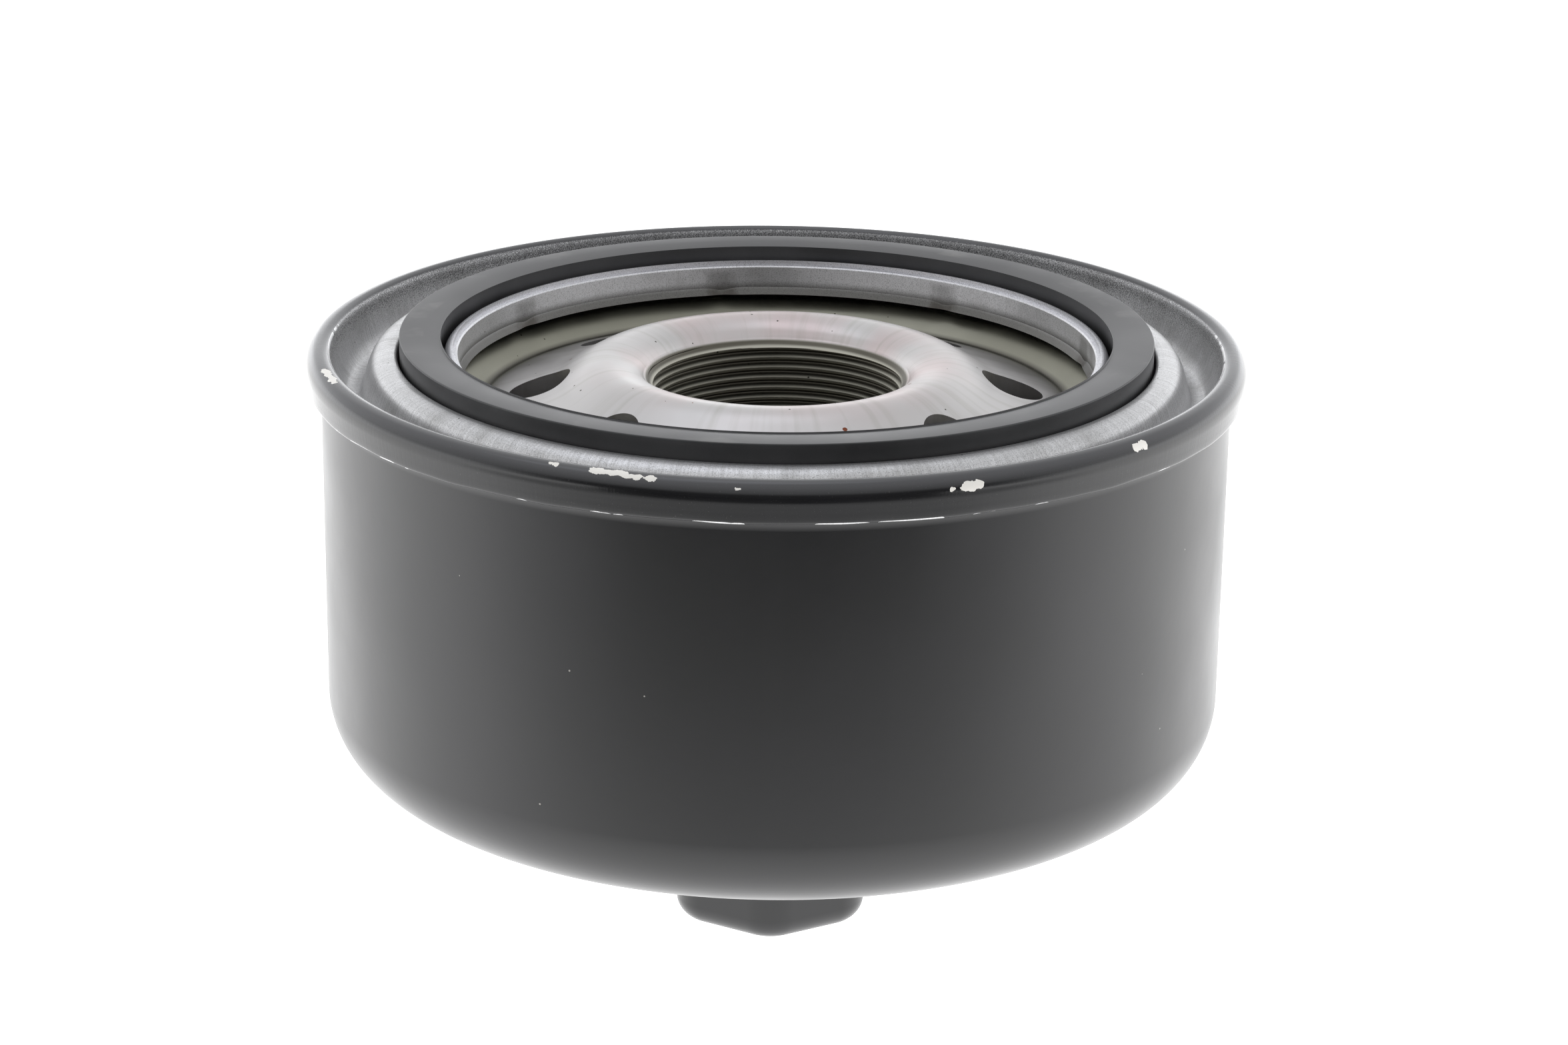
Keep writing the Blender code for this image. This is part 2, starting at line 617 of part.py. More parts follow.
def make_end_caps():
    flange = FLANGE_INNER + CAP_SHEET
    upper = [
        (ELEMENT_RADIUS, TOP_CAP_DEPTH + CAP_RIM),
        (ELEMENT_RADIUS, TOP_CAP_DEPTH),
        (flange, TOP_CAP_DEPTH),
        (flange, FLANGE_TOP),
    ]
    turned("element_top_cap", sheet(upper, CAP_SHEET), PLATED_STEEL, MEDIUM_STEPS)
    lower = [
        (CAP_PORT_RADIUS, BOTTOM_CAP_DEPTH),
        (ELEMENT_RADIUS, BOTTOM_CAP_DEPTH),
        (ELEMENT_RADIUS, BOTTOM_CAP_DEPTH - CAP_RIM),
    ]
    turned("element_bottom_cap", sheet(lower, CAP_SHEET), PLATED_STEEL, MEDIUM_STEPS)


def make_potting():
    """Resin rings that bed the paper and the tube in each end cap."""
    for name, top in (("top_potting", TUBE_TOP), ("bottom_potting", TUBE_BOTTOM - POTTING)):
        ring = [
            (POTTING_OUTER, top),
            (POTTING_OUTER, top + POTTING),
            (POTTING_INNER, top + POTTING),
            (POTTING_INNER, top),
        ]
        turned(name, ring, POTTING_RESIN, MEDIUM_STEPS)


def make_centre_tube():
    """Perforated tube that holds the paper out against the oil's pressure."""
    wall = [
        (TUBE_OUTER, TUBE_TOP),
        (TUBE_OUTER, TUBE_BOTTOM),
        (TUBE_INNER, TUBE_BOTTOM),
        (TUBE_INNER, TUBE_TOP),
    ]
    tube = turned("centre_tube", wall, PLATED_STEEL, 2 * TUBE_HOLES_PER_ROW)
    spacing = (MEDIA_BOTTOM - MEDIA_TOP) / TUBE_HOLE_ROWS
    places = []
    for row in range(TUBE_HOLE_ROWS):
        depth = MEDIA_TOP + spacing * (row + 0.5)
        for angle in around(TUBE_HOLES_PER_ROW, math.pi / TUBE_HOLES_PER_ROW * (row % 2)):
            direction = Vector((math.cos(angle), math.sin(angle), 0.0))
            places.append((polar(TUBE_OUTER, angle, depth), direction))
    boolean(tube, studs("tube_holes", TUBE_HOLE_RADIUS, 8, places, TUBE_WALL * 6.0))


def pleat_outline(outer, inner, outer_half, inner_half):
    """One side of the folded paper: a loop of flat-ended folds between two radii."""
    corners = []
    for centre in around(PLEATS):
        valley = centre + math.pi / PLEATS
        for angle, radius, half in ((centre, outer, outer_half), (valley, inner, inner_half)):
            for side in (-1.0, 1.0):
                turn = angle + side * half / radius
                corners.append((radius * math.cos(turn) * MM, radius * math.sin(turn) * MM))
    return corners


def make_media():
    """Pleated paper ring, extruded upright."""
    curve = bpy.data.curves.new("pleats", "CURVE")
    curve.dimensions = "2D"
    curve.fill_mode = "BOTH"
    curve.extrude = (MEDIA_BOTTOM - MEDIA_TOP) / 2.0 * MM
    half_gap = PLEAT_FOLD / 2.0
    sides = (
        pleat_outline(MEDIA_OUTER, MEDIA_INNER + PAPER, PAPER + half_gap, half_gap),
        pleat_outline(MEDIA_OUTER - PAPER, MEDIA_INNER, half_gap, PAPER + half_gap),
    )
    for corners in sides:
        spline = curve.splines.new("POLY")
        spline.points.add(len(corners) - 1)
        for point, (x, y) in zip(spline.points, corners):
            point.co = (x, y, 0.0, 1.0)
        spline.use_cyclic_u = True
    outline = place("pleats", curve)
    mesh = evaluated_mesh(outline)
    mesh.transform(Matrix.Translation(at(0.0, (MEDIA_TOP + MEDIA_BOTTOM) / 2.0)))
    place("pleated_media", mesh, FILTER_PAPER)


def make_support_spring():
    """Leaf spring: hub ring under the element with legs that stand on the can's floor."""
    hub_top = BOTTOM_CAP_DEPTH + GAP
    foot_top = FOOT_DEPTH - LEAF_SHEET
    hub_edge = LEAF_HUB_RADIUS + LEAF_HUB_WIDTH
    path = [
        (LEAF_FOOT_RADIUS, foot_top),
        (LEAF_FOOT_RADIUS - LEAF_FOOT_WIDTH, foot_top),
        (hub_edge, hub_top),
        (LEAF_HUB_RADIUS, hub_top),
    ]
    spring = turned("support_spring", sheet(path, LEAF_SHEET), SPRING_STEEL, MEDIUM_STEPS)
    cage = bmesh.new()
    reach = LEAF_FOOT_RADIUS * 1.2
    narrow = hub_edge * 0.42
    wide = reach * 0.62
    middle_depth = (hub_top + FOOT_DEPTH) / 2.0
    for angle in around(LEAF_LEGS, math.pi / LEAF_LEGS):
        middle = polar(hub_edge + LEAF_LEDGE + reach / 2.0, angle, middle_depth)
        size = Matrix.Diagonal((reach * MM, 1.0, LEAF_HEIGHT * 3.0 * MM, 1.0))
        turn = Matrix.Rotation(angle, 4, "Z")
        box = bmesh.ops.create_cube(cage, size=1.0)["verts"]
        for vert in box:
            half_width = wide if vert.co.x > 0.0 else narrow
            vert.co.y = math.copysign(half_width * MM, vert.co.y)
        bmesh.ops.transform(cage, matrix=Matrix.Translation(middle) @ turn @ size, verts=box)
    mesh = bpy.data.meshes.new("leg_gaps")
    cage.to_mesh(mesh)
    cage.free()
    boolean(spring, place("leg_gaps", mesh))


# ---------------------------------------------------------------------------
# Bypass valve
# ---------------------------------------------------------------------------


def make_bypass_seat():
    outline = [
        (SEAT_FLANGE, SEAT_TOP),
        (SEAT_FLANGE, SEAT_BOTTOM),
        (PORT_RADIUS, SEAT_BOTTOM),
        (PORT_RADIUS, LIP_TOP),
        (PORT_RADIUS + 1.0, LIP_TOP),
        (PORT_RADIUS + 1.0, SEAT_TOP),
    ]
    turned("bypass_seat", outline, PLATED_STEEL, SMALL_STEPS)


def make_bypass_poppet():
    """Moulded poppet whose spigot centres the seal and whose stem runs in the cage."""
    outline = [
        (0.0, CAGE_TOP - STEM_PROUD),
        (STEM_RADIUS, CAGE_TOP - STEM_PROUD),
        (STEM_RADIUS, POPPET_TOP),
        (POPPET_RADIUS, POPPET_TOP),
        (POPPET_RADIUS, POPPET_BOTTOM),
        (SPIGOT_RADIUS, POPPET_BOTTOM),
        (SPIGOT_RADIUS, SEAL_BOTTOM),
        (0.0, SEAL_BOTTOM),
    ]
    turned("bypass_poppet", outline, NYLON, SMALL_STEPS)
    seal_inner = SPIGOT_RADIUS + GAP
    seal = [
        (POPPET_RADIUS - GAP, SEAL_TOP),
        (POPPET_RADIUS - GAP, SEAL_BOTTOM),
        (seal_inner, SEAL_BOTTOM),
        (seal_inner, SEAL_TOP),
    ]
    turned("bypass_seal", seal, BLACK_RUBBER, SMALL_STEPS)


def make_bypass_spring():
    curve = bpy.data.curves.new("bypass_coil", "CURVE")
    curve.dimensions = "3D"
    curve.bevel_depth = VALVE_SPRING_WIRE / 2.0 * MM
    curve.bevel_resolution = 1
    curve.use_fill_caps = True
    per_turn = 14
    count = int(VALVE_SPRING_TURNS * per_turn)
    top = VALVE_SPRING_BOTTOM - VALVE_SPRING_LENGTH + VALVE_SPRING_WIRE / 2.0
    bottom = VALVE_SPRING_BOTTOM - VALVE_SPRING_WIRE / 2.0
    spline = curve.splines.new("POLY")
    spline.points.add(count)
    for i, point in enumerate(spline.points):
        depth = top + (bottom - top) * i / count
        point.co = (*polar(VALVE_SPRING_RADIUS, math.tau * i / per_turn, depth), 1.0)
    coil = place("bypass_coil", curve)
    place("bypass_spring", evaluated_mesh(coil), SPRING_STEEL)


def make_bypass_cage():
    """Pressed cage over the poppet, with windows for the oil and a hole for the stem."""
    path = [
        (SEAT_FLANGE, CAGE_FLANGE_BOTTOM - CAGE_SHEET),
        (CAGE_RADIUS, CAGE_FLANGE_BOTTOM - CAGE_SHEET),
        (CAGE_RADIUS, CAGE_TOP),
        (STEM_RADIUS + BORE_FIT, CAGE_TOP),
    ]
    cage_body = turned("bypass_cage", sheet(path, CAGE_SHEET), PLATED_STEEL, MEDIUM_STEPS)
    window_top = CAGE_TOP + 3.0
    window_bottom = CAGE_FLANGE_BOTTOM - 3.5
    cutter = bmesh.new()
    for angle in around(CAGE_WINDOWS, math.pi / 4.0):
        middle = polar(CAGE_RADIUS, angle, (window_top + window_bottom) / 2.0)
        scale = (CAGE_SHEET * 8.0, CAGE_RADIUS * 0.8, window_bottom - window_top)
        size = Matrix.Diagonal((*[side * MM for side in scale], 1.0))
        turn = Matrix.Rotation(angle, 4, "Z")
        bmesh.ops.create_cube(cutter, size=1.0, matrix=Matrix.Translation(middle) @ turn @ size)
    mesh = bpy.data.meshes.new("cage_windows")
    cutter.to_mesh(mesh)
    cutter.free()
    boolean(cage_body, place("cage_windows", mesh))


make_can()
make_seaming_lid()
make_seam_sealant()
make_gasket()
make_tapping_plate()
make_welds()
make_drain_valve()
make_end_caps()
make_potting()
make_centre_tube()
make_media()
make_support_spring()
make_bypass_seat()
make_bypass_poppet()
make_bypass_spring()
make_bypass_cage()
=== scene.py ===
"""Looks of a spin-on oil filter: painted can, rolled seam, plated lid, gasket and tapping plate.

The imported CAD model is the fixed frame. Outlines are (radius, depth) pairs in millimetres, where
depth runs down from the gasket's sealing face. Meshes and nodes work in metres, about the Z axis.
"""

import logging
import math
from collections.abc import Callable, Sequence
from dataclasses import dataclass
from enum import Enum

import bmesh
import bpy
import numpy as np
from mathutils import Matrix, Vector


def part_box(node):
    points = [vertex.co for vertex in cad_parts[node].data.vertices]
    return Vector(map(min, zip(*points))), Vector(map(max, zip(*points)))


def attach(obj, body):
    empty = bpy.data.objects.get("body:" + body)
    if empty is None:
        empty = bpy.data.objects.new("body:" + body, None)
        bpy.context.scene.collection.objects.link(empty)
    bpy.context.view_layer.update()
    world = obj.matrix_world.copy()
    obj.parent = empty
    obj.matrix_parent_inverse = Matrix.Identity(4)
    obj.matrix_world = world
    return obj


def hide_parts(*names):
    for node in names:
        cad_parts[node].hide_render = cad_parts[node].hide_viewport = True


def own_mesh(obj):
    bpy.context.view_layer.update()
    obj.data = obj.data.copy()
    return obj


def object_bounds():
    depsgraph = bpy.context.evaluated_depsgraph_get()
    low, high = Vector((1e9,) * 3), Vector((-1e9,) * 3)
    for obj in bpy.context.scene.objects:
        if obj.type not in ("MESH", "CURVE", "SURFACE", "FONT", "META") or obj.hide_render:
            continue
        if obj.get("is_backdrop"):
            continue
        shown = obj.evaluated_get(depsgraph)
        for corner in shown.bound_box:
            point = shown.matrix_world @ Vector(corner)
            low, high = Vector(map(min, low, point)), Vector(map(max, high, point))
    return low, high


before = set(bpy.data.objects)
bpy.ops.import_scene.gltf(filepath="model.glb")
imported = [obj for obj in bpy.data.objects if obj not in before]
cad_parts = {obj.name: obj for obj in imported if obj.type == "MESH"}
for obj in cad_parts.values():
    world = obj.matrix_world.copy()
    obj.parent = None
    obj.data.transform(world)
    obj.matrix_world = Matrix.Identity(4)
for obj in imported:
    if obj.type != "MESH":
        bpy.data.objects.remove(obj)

CAD_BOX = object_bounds()
MM = 0.001
LOG = logging.getLogger("oil_filter")

Outline = list[tuple[float, float]]
Spot = tuple[float, float, float]
Corners = list[Spot]
Socket = bpy.types.NodeSocket
Value = Socket | float
Part = Value | tuple[Socket, float, float]
Ring = tuple[np.ndarray, np.ndarray]
Shaper = Callable[[np.ndarray, np.ndarray, np.ndarray], Ring]


class Body(Enum):
    """The CAD bodies that pieces ride on."""

    CASING = "casing"
    ELEMENT = "element"
    BYPASS = "bypass_valve"
    DRAIN = "drain_valve"


class Joint(Enum):
    """Names of the CAD joints by the springs."""

    FLOAT = "element_float"
    LIFT = "bypass_lift"


class Slot(Enum):
    """Names of the record's material slots, passed along with each piece."""

    PAINT = "black_paint"
    LID = "lid_steel"
    PLATE = "plate_steel"
    SPRING = "spring_steel"
    RUBBER = "rubber"


# ---------------------------------------------------------------------------
# Shader nodes
# ---------------------------------------------------------------------------


def linear(code: str) -> tuple[float, float, float, float]:
    """Turns an sRGB hex colour into linear light.

    Args:
        code: a colour such as "#1a1a1b".

    Returns:
        The colour as linear red, green, blue and an alpha of 1.
    """
    shares = [int(code[i : i + 2], 16) / 255.0 for i in (1, 3, 5)]
    red, green, blue = (s / 12.92 if s <= 0.04045 else ((s + 0.055) / 1.055) ** 2.4 for s in shares)
    return red, green, blue, 1.0


def fill(tree: bpy.types.NodeTree, node: bpy.types.Node, inputs: dict) -> None:
    """Links a node's inputs or sets their values.

    Args:
        tree: the node tree that holds the node.
        node: the node.
        inputs: a socket to link, or a value to set, for each input's name or number.
    """
    for key, value in inputs.items():
        if isinstance(value, Socket):
            tree.links.new(value, node.inputs[key])
        else:
            node.inputs[key].default_value = value


def add_node(
    tree: bpy.types.NodeTree, kind: str, inputs: dict | None = None, out: int | str = 0, **settings
) -> Socket:
    """Adds a node with its settings and links.

    Args:
        tree: the node tree that takes the node.
        kind: the node's type, without the leading "ShaderNode".
        inputs: a socket to link, or a value to set, for each input's name or number.
        out: name or number of the output that is wanted.
        **settings: the node's own properties.

    Returns:
        The wanted output.
    """
    made = tree.nodes.new("ShaderNode" + kind)
    for name, value in settings.items():
        setattr(made, name, value)
    fill(tree, made, inputs or {})
    return made.outputs[out]


class Surface:
    """A material that is being dressed, with sockets that tell where a point of a turned piece lies.

    Attributes:
        tree: the material's node tree.
        shader: its Principled BSDF.
        point: the point itself, in metres.
        radius: its distance from the axis, in metres.
        height: its height in the frame, in metres.
        heading: the unit vector from the axis towards it.
    """

    def __init__(self, material: bpy.types.Material) -> None:
        """Finds the point's whereabouts in a new material."""
        self.tree = material.node_tree
        self.shader = self.tree.nodes["Principled BSDF"]
        self.point = self.node("TexCoord", out="Object")
        flat = self.node("VectorMath", {0: self.point, 1: (1.0, 1.0, 0.0)}, operation="MULTIPLY")
        self.radius = self.node("VectorMath", {0: flat}, "Value", operation="LENGTH")
        self.heading = self.node("VectorMath", {0: flat}, operation="NORMALIZE")
        self.height = self.node("SeparateXYZ", {0: self.point}, "Z")

    def node(self, kind: str, inputs: dict | None = None, out: int | str = 0, **settings) -> Socket:
        """Adds a node to the material, as add_node does."""
        return add_node(self.tree, kind, inputs, out, **settings)

    def wear(self, looks: dict[str, Value]) -> None:
        """Links or sets inputs of the shader by name."""
        fill(self.tree, self.shader, looks)

    def joined(self, operation: str, *parts: Part) -> Socket:
        """Joins parts in order with one operation.

        Args:
            operation: the Math node's operation.
            *parts: sockets, numbers, or a length's socket with the lengths in millimetres where a
                smooth step of it is 0 and 1.

        Returns:
            The result's socket.
        """
        total = None
        for part in parts:
            if isinstance(part, tuple):
                step = {0: part[0], 1: part[1] * MM, 2: part[2] * MM}
                part = self.node("MapRange", step, interpolation_type="SMOOTHSTEP")
            total = part if total is None else self.node("Math", {0: total, 1: part}, operation=operation)
        return total

    def share(self, *parts: Part) -> Socket:
        """The product of parts, each as joined takes it."""
        return self.joined("MULTIPLY", *parts)

    def coated(self, ground: Value | str, *coats: tuple[Value, Value | str]) -> Socket:
        """Lays coats over a ground.

        Args:
            ground: an sRGB hex colour, a number or a socket.
            *coats: each coat's share, from 0 to 1, and its colour, number or socket.

        Returns:
            The socket of what shows.
        """
        number = isinstance(ground, float) or getattr(ground, "type", "") == "VALUE"
        kind, under, over, out = ("FLOAT", 2, 3, 0) if number else ("RGBA", 6, 7, 2)
        for share, coat in coats:
            ground, coat = (linear(shade) if isinstance(shade, str) else shade for shade in (ground, coat))
            ground = self.node("Mix", {0: share, under: ground, over: coat}, out, data_type=kind)
        return ground

    def blotches(self, size: float, low: float = 0.0, high: float = 1.0, detail: float = 4.0) -> Socket:
        """Soft patches of noise, stretched so that low and below is 0 and high and above is 1.

        Args:
            size: width of a patch in millimetres.
            low: the noise value that becomes 0.
            high: the noise value that becomes 1.
            detail: the noise's detail.

        Returns:
            The stretched value.
        """
        cloud = self.node("TexNoise", {"Vector": self.point, "Scale": 1.0 / (size * MM), "Detail": detail})
        return self.node("MapRange", {0: cloud, 1: low, 2: high})

    def streaks(self, across: float, along: float, reach: float, detail: float = 3.0) -> Socket:
        """Noise drawn out from the axis, as a brush or a press leaves it.

        Args:
            across: width of a streak in millimetres, measured round the axis.
            along: length of a streak in millimetres, measured out from the axis.
            reach: the radius in millimetres at which the width holds.
            detail: the noise's detail.

        Returns:
            The noise's value, from 0 to 1.
        """
        turn = self.node("VectorMath", {0: self.heading, 3: reach / across}, operation="SCALE")
        ways = [self.share(way, 1.0 / (along * MM)) for way in (self.radius, self.height)]
        away = self.joined("ADD", *ways)
        lift = self.node("CombineXYZ", {2: away})
        spot = self.node("VectorMath", {0: turn, 1: lift}, operation="ADD")
        return self.node("TexNoise", {"Vector": spot, "Scale": 1.0, "Detail": detail})

    def specks(self, spacing: float, size: float) -> Socket:
        """Lone specks of dust or pitting, one at most in each cell.

        Args:
            spacing: distance between specks in millimetres.
            size: radius of a speck in millimetres.

        Returns:
            1 on a speck and 0 elsewhere.
        """
        away = self.node("TexVoronoi", {"Vector": self.point, "Scale": 1.0 / (spacing * MM)}, "Distance")
        return self.joined("LESS_THAN", away, size / spacing)

    def relief(self, strength: float, distance: float, height: Socket) -> None:
        """Raises the surface.

        Args:
            strength: the bump's strength.
            distance: the bump's height in millimetres.
            height: where it is raised.
        """
        looks = {"Strength": strength, "Distance": distance * MM, "Height": height}
        self.wear({"Normal": self.node("Bump", looks)})


# ---------------------------------------------------------------------------
# Finishes
# ---------------------------------------------------------------------------


@dataclass(frozen=True)
class Finish:
    """A surface finish. Each kind dresses its own material."""

    name: str

    def make(self) -> bpy.types.Material:
        """Builds the material.

        Returns:
            The new material.
        """
        material = bpy.data.materials.new(self.name)
        material.use_nodes = True
        self.dress(Surface(material))
        return material

    def dress(self, on: Surface) -> None:
        """Gives the surface its looks.

        Args:
            on: the surface.
        """
        raise NotImplementedError


@dataclass(frozen=True)
class StovedPaint(Finish):
    """Satin black stoving paint, sprayed on drawn steel: dark, slightly rippled, with settled dust."""

    name: str = "satin_black_stoving_paint"
    colour: str = "#111112"
    haze: str = "#18181a"
    dust: str = "#8f8c87"
    roughness: float = 0.31
    ripple: float = 1.6
    dust_spacing: float = 8.5
    dust_size: float = 0.14

    def colour_of(self, on: Surface) -> Socket:
        """The paint's colour, a little cloudy and dusty."""
        settled = on.specks(self.dust_spacing, self.dust_size)
        return on.coated(self.colour, (on.blotches(28.0, 0.35, 0.7), self.haze), (settled, self.dust))

    def roughness_of(self, on: Surface) -> Socket:
        """Gloss that wanders slightly where hands have wiped the paint."""
        return on.coated(self.roughness - 0.03, (on.blotches(18.0, 0.3, 0.75), self.roughness + 0.05))

    def dress(self, on: Surface) -> None:
        """Paint with its orange-peel ripple."""
        on.wear({"Base Color": self.colour_of(on), "Roughness": self.roughness_of(on), "IOR": 1.5})
        on.relief(0.12, 0.05, on.blotches(self.ripple, detail=2.0))


@dataclass(frozen=True)
class Chip:
    """A chip out of the seam's paint.

    Attributes:
        start: heading of one end, in degrees.
        end: heading of the other end, in degrees.
        radius: distance from the axis, in millimetres.
        depth: depth below the sealing face, in millimetres.
        size: half the chip's width, in millimetres.
    """

    start: float
    end: float
    radius: float
    depth: float
    size: float

    def ends(self) -> tuple[Vector, Vector]:
        """Both ends of the chip's middle line, in metres."""
        turns = [math.radians(turn) for turn in (self.start, self.end)]
        flat = [Vector((math.cos(turn), math.sin(turn), 0.0)) * self.radius * MM for turn in turns]
        return tuple(spot + Vector((0.0, 0.0, DATUM.height(self.depth))) for spot in flat)


@dataclass(frozen=True)
class PaintedTinplate(Finish):
    """Bright tin-plated sheet with radial grain, its rolled seam sprayed black and chipped in use."""

    name: str = "tinplate_with_painted_seam"
    metal: str = "#dcdcdd"
    # painted highlight: lighter, bluish colour for the top of the ring's bead
    bead_highlight: str = "#e2e2e6"
    # painted highlight: lighter grey for the top of the rolled seam
    seam_top_highlight: str = "#4a4a4c"
    # painted shade: colour for the foot of the ring's inner wall
    film_and_shade: str = "#6f6e6b"
    stain: str = "#8f8e8b"
    pits_marks_and_shade: str = "#55524e"
    primer: str = "#f6f3ec"
    paint: StovedPaint = StovedPaint(roughness=0.2, dust_size=0.0)
    grain: float = 0.28
    chips: tuple[Chip, ...] = (
        Chip(-110.9, -107.0, 63.6, 1.45, 0.62),
        Chip(-107.0, -103.6, 63.9, 1.6, 0.42),
        Chip(-116.2, -115.4, 63.6, 1.4, 0.22),
        Chip(-94.3, -93.8, 64.5, 2.0, 0.22),
        Chip(-68.4, -67.0, 64.8, 2.6, 0.7),
        Chip(-70.2, -68.4, 64.8, 2.75, 0.25),
        Chip(-44.2, -43.0, 64.5, 2.1, 0.62),
        Chip(-164.0, -158.4, 63.3, 1.3, 0.5),
    )

    def chipped(self, on: Surface) -> Socket:
        """Where the paint is chipped off.

        Args:
            on: the surface.

        Returns:
            1 in a chip and 0 elsewhere.
        """
        wobble = on.share(on.joined("SUBTRACT", on.blotches(0.9, detail=5.0), 0.5), 1.3 * MM)
        edges = []
        for chip in self.chips:
            start, end = chip.ends()
            run = end - start
            arm = on.node("VectorMath", {0: on.point, 1: start}, operation="SUBTRACT")
            ahead = run / run.length_squared
            part = on.node("VectorMath", {0: arm, 1: ahead}, "Value", operation="DOT_PRODUCT")
            along = on.node("VectorMath", {0: run, 3: on.node("Clamp", {0: part})}, operation="SCALE")
            away = on.node("VectorMath", {0: arm, 1: along}, "Value", operation="DISTANCE")
            edges.append(on.joined("SUBTRACT", away, chip.size * MM))
        outline = on.joined("ADD", on.joined("MINIMUM", *edges), wobble)
        return on.joined("LESS_THAN", outline, 0.0)

    def rubbed(self, on: Surface) -> Socket:
        """Where the seam's lower lip is rubbed through to the metal, in broken stretches.

        Args:
            on: the surface.

        Returns:
            1 on bare metal and 0 elsewhere.
        """
        lip = (on.height, DATUM.level(LID.seam_bottom - 0.42), DATUM.level(LID.seam_bottom - 0.12))
        outer = (on.radius, LID.seam_radius - 0.75, LID.seam_radius - 0.6)
        patches = on.node("MapRange", {0: on.streaks(9.0, 60.0, LID.seam_radius, 4.0), 1: 0.5, 2: 0.58})
        return on.joined("GREATER_THAN", on.share(lip, outer, patches), 0.5)

    def rubbed_line_and_highlight(self, on: Surface) -> Socket:
        """A line of bare metal along the seam's inner edge, on the front half: partly rubbed paint, partly a
        painted highlight.

        Args:
            on: the surface.

        Returns:
            1 on bare metal and 0 elsewhere.
        """
        edge = LID.chuck_radius + 0.62
        line = [(on.radius, edge + side * 0.17, edge + side * 0.08) for side in (-1.0, 1.0)]
        # keeps the line to the front half, where it stands as a painted highlight
        front_half = on.node("MapRange", {0: on.node("SeparateXYZ", {0: on.heading}, "Y"), 1: 0.2, 2: 0.0})
        patches = on.node("MapRange", {0: on.streaks(6.0, 60.0, LID.chuck_radius, 5.0), 1: 0.38, 2: 0.48})
        return on.joined("GREATER_THAN", on.share(*line, front_half, patches), 0.5)

    def darkened_at_welds(self, on: Surface) -> Socket:
        """Darker marks on the ring's inner wall at the spot welds, over their dents.

        Args:
            on: the surface.

        Returns:
            How dark the mark is, from 0 to 1.
        """
        across, up = (on.node("SeparateXYZ", {0: on.heading}, axis) for axis in "XY")
        turn = on.joined("ARCTAN2", up, across)
        count = float(LID.weld_count)
        phase = math.radians(LID.weld_phase) * count
        wave = on.joined("ADD", on.share(turn, count), -phase)
        ragged = on.joined("ADD", on.share(on.blotches(2.5, 0.3, 0.7), 0.12), -0.06)
        near = on.joined("ADD", on.node("Math", {0: wave}, operation="COSINE"), ragged)
        mark = on.node("MapRange", {0: near, 1: 0.86, 2: 1.0}, interpolation_type="SMOOTHSTEP")
        wall = (on.radius, LID.ring_inner + 0.9, LID.ring_inner + 0.45)
        low = (on.height, DATUM.level(LID.ring_top + 0.7), DATUM.level(LID.ring_top + 1.9))
        return on.share(mark, wall, low)

    def sprayed(self, on: Surface) -> Socket:
        """Where black paint lies: all of the seam, fading down the chuck wall as overspray.

        Args:
            on: the surface.

        Returns:
            1 on paint and 0 on bare plate.
        """
        foot, full = DATUM.height(LID.valley_depth - 2.4), DATUM.height(LID.seam_top + 1.6)
        wall = on.node("MapRange", {0: on.height, 1: foot, 2: full, 4: 0.7})
        inner = on.share(wall, (on.radius, LID.valley_outer - 0.4, LID.valley_outer + 0.6))
        seam = on.share((on.radius, LID.chuck_radius + 0.4, LID.chuck_radius + 0.9), 1.5)
        edge = on.joined("SUBTRACT", on.joined("MAXIMUM", seam, inner), on.blotches(0.16, 0.25, 0.75, 2.0))
        return on.node("MapRange", {0: edge, 1: -0.55, 2: 0.6})

    def plate(self, on: Surface, grain: Socket, ring: Socket) -> Socket:
        """The bare plate's colour, with grain, stains, pits, darker weld marks, a painted highlight and
        painted shade.

        Args:
            on: the surface.
            grain: the plate's grain.
            ring: 1 on the inner ring and 0 elsewhere.

        Returns:
            The colour's socket.
        """
        brushed = on.coated(0.1, (on.share((on.radius, LID.ring_outer + 0.8, LID.gasket_outer)), 0.4))
        scratched = on.share(on.node("MapRange", {0: grain, 1: 0.3, 2: 0.75}), brushed)
        bead = (on.height, DATUM.level(LID.ring_top + 1.1), DATUM.level(LID.ring_top + 0.5))
        low = (on.height, DATUM.level(LID.hem - 2.2), DATUM.level(LID.hem - 0.6))
        return on.coated(
            self.metal,
            (scratched, self.stain),
            (on.share(on.blotches(7.0, 0.5, 0.72), 0.4), self.stain),
            # painted highlight: the top of the ring's bead is painted lighter and bluish
            (on.share(bead, ring), self.bead_highlight),
            # painted shade: the lower part of the ring's inner wall is painted darker
            (on.share(low, ring), self.film_and_shade),
            (on.specks(5.0, 0.13), self.pits_marks_and_shade),
            (self.darkened_at_welds(on), self.pits_marks_and_shade),
        )

    def dress(self, on: Surface) -> None:
        """Plate below, paint over it with a painted highlight on the seam's top, chips and rubbed edges
        through the paint, one of them also a painted highlight.
        """
        grain = on.streaks(self.grain, 5.0, LID.ridge_outer)
        ring = on.share((on.radius, LID.ring_outer + 0.3, LID.ring_outer))
        chip = self.chipped(on)
        bare = on.joined("MAXIMUM", chip, self.rubbed(on), self.rubbed_line_and_highlight(on))
        paint = on.share(self.sprayed(on), on.joined("SUBTRACT", 1.0, bare))
